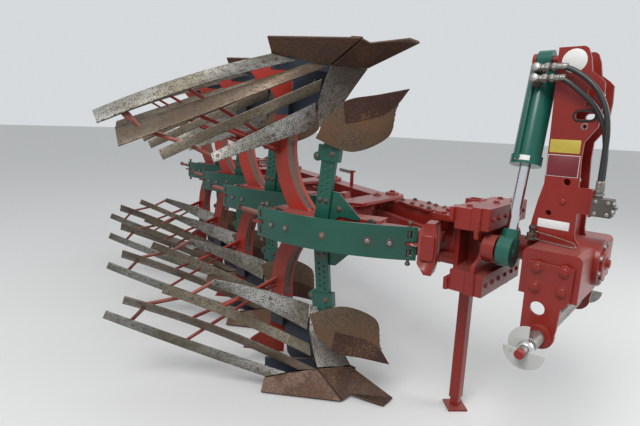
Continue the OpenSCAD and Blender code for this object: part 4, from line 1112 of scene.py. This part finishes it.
STUB = lathe([(17, 64), (17.4, 66), (17.4, 100), (20, 102), (21, 108), (21, 122), (18, 131), (10, 134)], 24)
SWIVEL = lathe([(17, 14), (17, 22), (13, 24), (13, 34), (19, 35), (20, 37), (20, 54), (18, 56),
                (14, 57), (14, 66), (18, 67), (18.5, 69), (18.5, 80), (17, 81.5)], 6)
PORT_NUT = lathe([(23, 56), (24, 58), (24, 72), (22, 74)], 6)
SEAL = lathe([(16, 56), (16, 67)], 20)
elbows, joints = [], []
for z in PORTS:
    elbows += [(STUB, (0, 0, z), RIGHT), (SWIVEL, (0, PORT_REACH, z), FRONT)]
    joints += [(PORT_NUT, (0, 0, z), RIGHT), (SEAL, (0, PORT_REACH, z), FRONT)]
barrel_set("port_elbows", elbows, ZINC)
barrel_set("port_joints", joints, OLD_BOLT)

around = np.radians(np.linspace(-118, -62, 15))
label = np.stack([np.column_stack([r * np.cos(around), r * np.sin(around), np.full(len(around), h)])
                  for r, h in ((66.5, -468), (67.8, -468), (67.8, -446), (66.5, -446))], axis=1)
points, faces = shell(label)
add_piece("barrel_label", [(barrel_place(points), faces)], LABEL, "barrel")
print("cylinder: ports", PORTS, "mm from its pin")

# %% [markdown]
# Two hoses carry oil from the barrel's elbows down to the valve block. Each is a circle carried
# along a curve through measured points. A hose could be a chain of rigid bits with joints, but
# it really bends all along. So its end fittings at the top go with the barrel when that swings,
# those at the bottom stay on the block, and the tube between them is one piece that stays put.

# %% Hoses
# Each hose from its elbow on the barrel to its nut on the block, in drawing millimetres
HOSES = np.array([
    [[-118, -133, 1785], [-108, -133, 1785], [-96, -133, 1785], [-48, -136, 1767],
     [9, -139, 1728], [55, -143, 1677], [89, -146, 1607], [104, -147, 1525],
     [106, -147, 1440], [106, -147, 1360], [106, -147, 1282]],
    [[-118, -144, 1739], [-108, -144, 1739], [-96, -144, 1739], [-62, -143, 1720],
     [-18, -138, 1685], [31, -129, 1639], [64, -120, 1590], [88, -115, 1530],
     [102, -115, 1450], [106, -115, 1364], [106, -115, 1282]]], float)
HOSE_R = 11.0
UPPER_END = lathe([(13.5, -2), (14, 0), (14, 8), (12.6, 9), (14, 10), (14, 22), (12.6, 23),
                   (14, 24), (14, 40), (12.5, 43)], 24)
LOWER_END = lathe([(12.5, 0), (14, 3), (14, 19), (12.6, 20), (14, 21), (14, 33), (12.6, 34),
                   (14, 35), (14, 46), (12.5, 48)], 24)
tubes, upper_ends, lower_ends = [], [], []
for route in HOSES:
    fine = spline(route, 121)
    points, faces = tube(fine, HOSE_R)
    tubes.append((place(points), faces))
    upper_ends += [([UPPER_END], route[0], FRONT), (hex_bolt(17, False), route[0] - (14, 0, 0), FRONT)]
    lower_ends += [([LOWER_END], route[-1], UP), (hex_bolt(17, False), route[-1] - (0, 0, 12), UP)]
    print("hose:", round(float(np.linalg.norm(np.diff(fine, axis=0), axis=1).sum())), "mm long")
piece = add_piece("hose_tubes", tubes, RUBBER, None, ["hoses"])
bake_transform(piece)
set_of("hose_ends_upper", upper_ends, ZINC, "barrel")
set_of("hose_ends_lower", lower_ends, ZINC, "headstock")

# %% [markdown]
# The valve block is a small drilled block of steel, so its open ports are closed by plugs and
# its halves are held by screws. The hitch pins end in a turned cap. These few bright or red
# spots break up plain faces, and a turned profile gives each in one line.

# %% Plugs on the valve block and ends of the hitch pins
MAST_BORE_H = BASE_TOP + 642                 # the bore near the top of the mast
VALVE = np.array([126.0, -130.0, BASE_TOP + (MAST_BORE_H - BASE_TOP) * 0.227])
VALVE_FRONT = 36                             # from the block's middle to its front face
NIPPLE = [lathe([(12, -1), (12, 6), (9, 7), (9, 12), (7, 14)], 16)]
PIN_END = [lathe([(18.5, -26), (18.5, 0.6), (16.5, 2.4)], 28), lathe([(15, -60), (15, -58)], 8)]
plugs = [(hex_bolt(13, False), VALVE + (VALVE_FRONT, y, z), FRONT) for y, z in ((-16, 22), (16, 22), (0, 52))]
plugs += [(hex_bolt(9, False), VALVE + (x, -35, z), RIGHT) for x, z in ((-22, 12), (22, 12), (-22, 60), (22, 60))]
plugs += [(NIPPLE, VALVE + (VALVE_FRONT, 14, 40), FRONT)]
set_of("valve_plugs", plugs, ZINC, "headstock")
set_of("pin_ends", [(PIN_END, (0, s * HITCH_END, HITCH_H), (0, s, 0)) for s in SIDES], RED, "headstock")
print("valve block:", len(plugs), "plugs and screws, middle", VALVE.round(1))

# %% [markdown]
# The floor and the sky are one pale colour, so that the plough stands in soft daylight as on a
# cloudy day. A white floor would also throw its light up under the plough and wash the colours
# out. So the floor is darker for that light than it is for the camera and for reflections,
# which Light Path tells apart, and it keeps the plough's shadow.

# %% Floor and sky
bpy.ops.mesh.primitive_plane_add(size=120)
floor = bpy.context.object
floor.name = "floor"
ground = Finish("floor_pale")
seen = (ground.node("ShaderNodeLightPath", output="Is Camera Ray")
        + ground.node("ShaderNodeLightPath", output="Is Glossy Ray")
        + ground.node("ShaderNodeLightPath", output="Is Transmission Ray")).clamp()
ground.set(Base_Color=ground.mix(seen, (0.30, 0.29, 0.28), (0.62, 0.62, 0.61)), Roughness=0.9)
floor.data.materials.append(ground.material)

world = bpy.data.worlds.new("sky")
bpy.context.scene.world = world
world.use_nodes = True
sky = world.node_tree.nodes["Background"]
sky.inputs["Color"].default_value = (0.90, 0.93, 0.96, 1)
sky.inputs["Strength"].default_value = 0.75

# %% [markdown]
# Sky light alone would leave the steel flat. One broad lamp from the front and the right gives
# the shine on the upper faces, as the brightest part of a cloudy sky does, and a weaker one from
# the other side opens the shadows. They are large discs, so their shadows have soft edges.

# %% Lamps
def area_lamp(name, where, size, power, target=(0, 0, 0.9)):
    """A disc of light at a place in metres, turned to look at the target."""
    data = bpy.data.lights.new(name, "AREA")
    data.shape, data.size, data.energy = "DISK", size, power
    lamp = bpy.data.objects.new(name, data)
    bpy.context.scene.collection.objects.link(lamp)
    lamp.location = where
    lamp.rotation_euler = (Vector(target) - Vector(where)).to_track_quat("-Z", "Y").to_euler()


area_lamp("key", (2.5, -5.0, 6.5), size=4.0, power=420)
area_lamp("fill", (5.5, 2.5, 3.5), size=3.0, power=120)
print("lamps:", len(bpy.data.lights))

# %% [markdown]
# The camera looks at the plough from its front right corner, at the height of a standing eye.
# Its place, its three angles and its focal length were solved all at once from corners of the
# real plough, which is surer than moving a camera by eye until one side fits. Yaw turns it
# about Z, pitch tips it down, and roll turns the picture about the line of sight.

# %% Camera
CAMERA_AT = (2.696, -2.467, 1.509)
YAW, PITCH, ROLL = map(math.radians, (41.04, 10.77, 2.38))
FOCAL, PICTURE_WIDTH, SENSOR = 466.2, 640, 36            # the first two in pixels, the sensor in mm
forward = Vector((-math.sin(YAW) * math.cos(PITCH), math.cos(YAW) * math.cos(PITCH), -math.sin(PITCH)))
right = Vector((math.cos(YAW), math.sin(YAW), 0))
above = right.cross(forward)
turned = (right * math.cos(ROLL) + above * math.sin(ROLL), above * math.cos(ROLL) - right * math.sin(ROLL))
camera_data = bpy.data.cameras.new("camera")
camera_data.sensor_width = SENSOR
camera_data.lens = FOCAL / PICTURE_WIDTH * SENSOR
camera = bpy.data.objects.new("camera", camera_data)
bpy.context.scene.collection.objects.link(camera)
axes = Matrix((turned[0], turned[1], -forward)).transposed()
camera.matrix_world = Matrix.Translation(CAMERA_AT) @ axes.to_4x4()
bpy.context.scene.camera = camera
bpy.context.scene.view_settings.view_transform = "Standard"
print("camera: lens", round(camera_data.lens, 2), "mm")
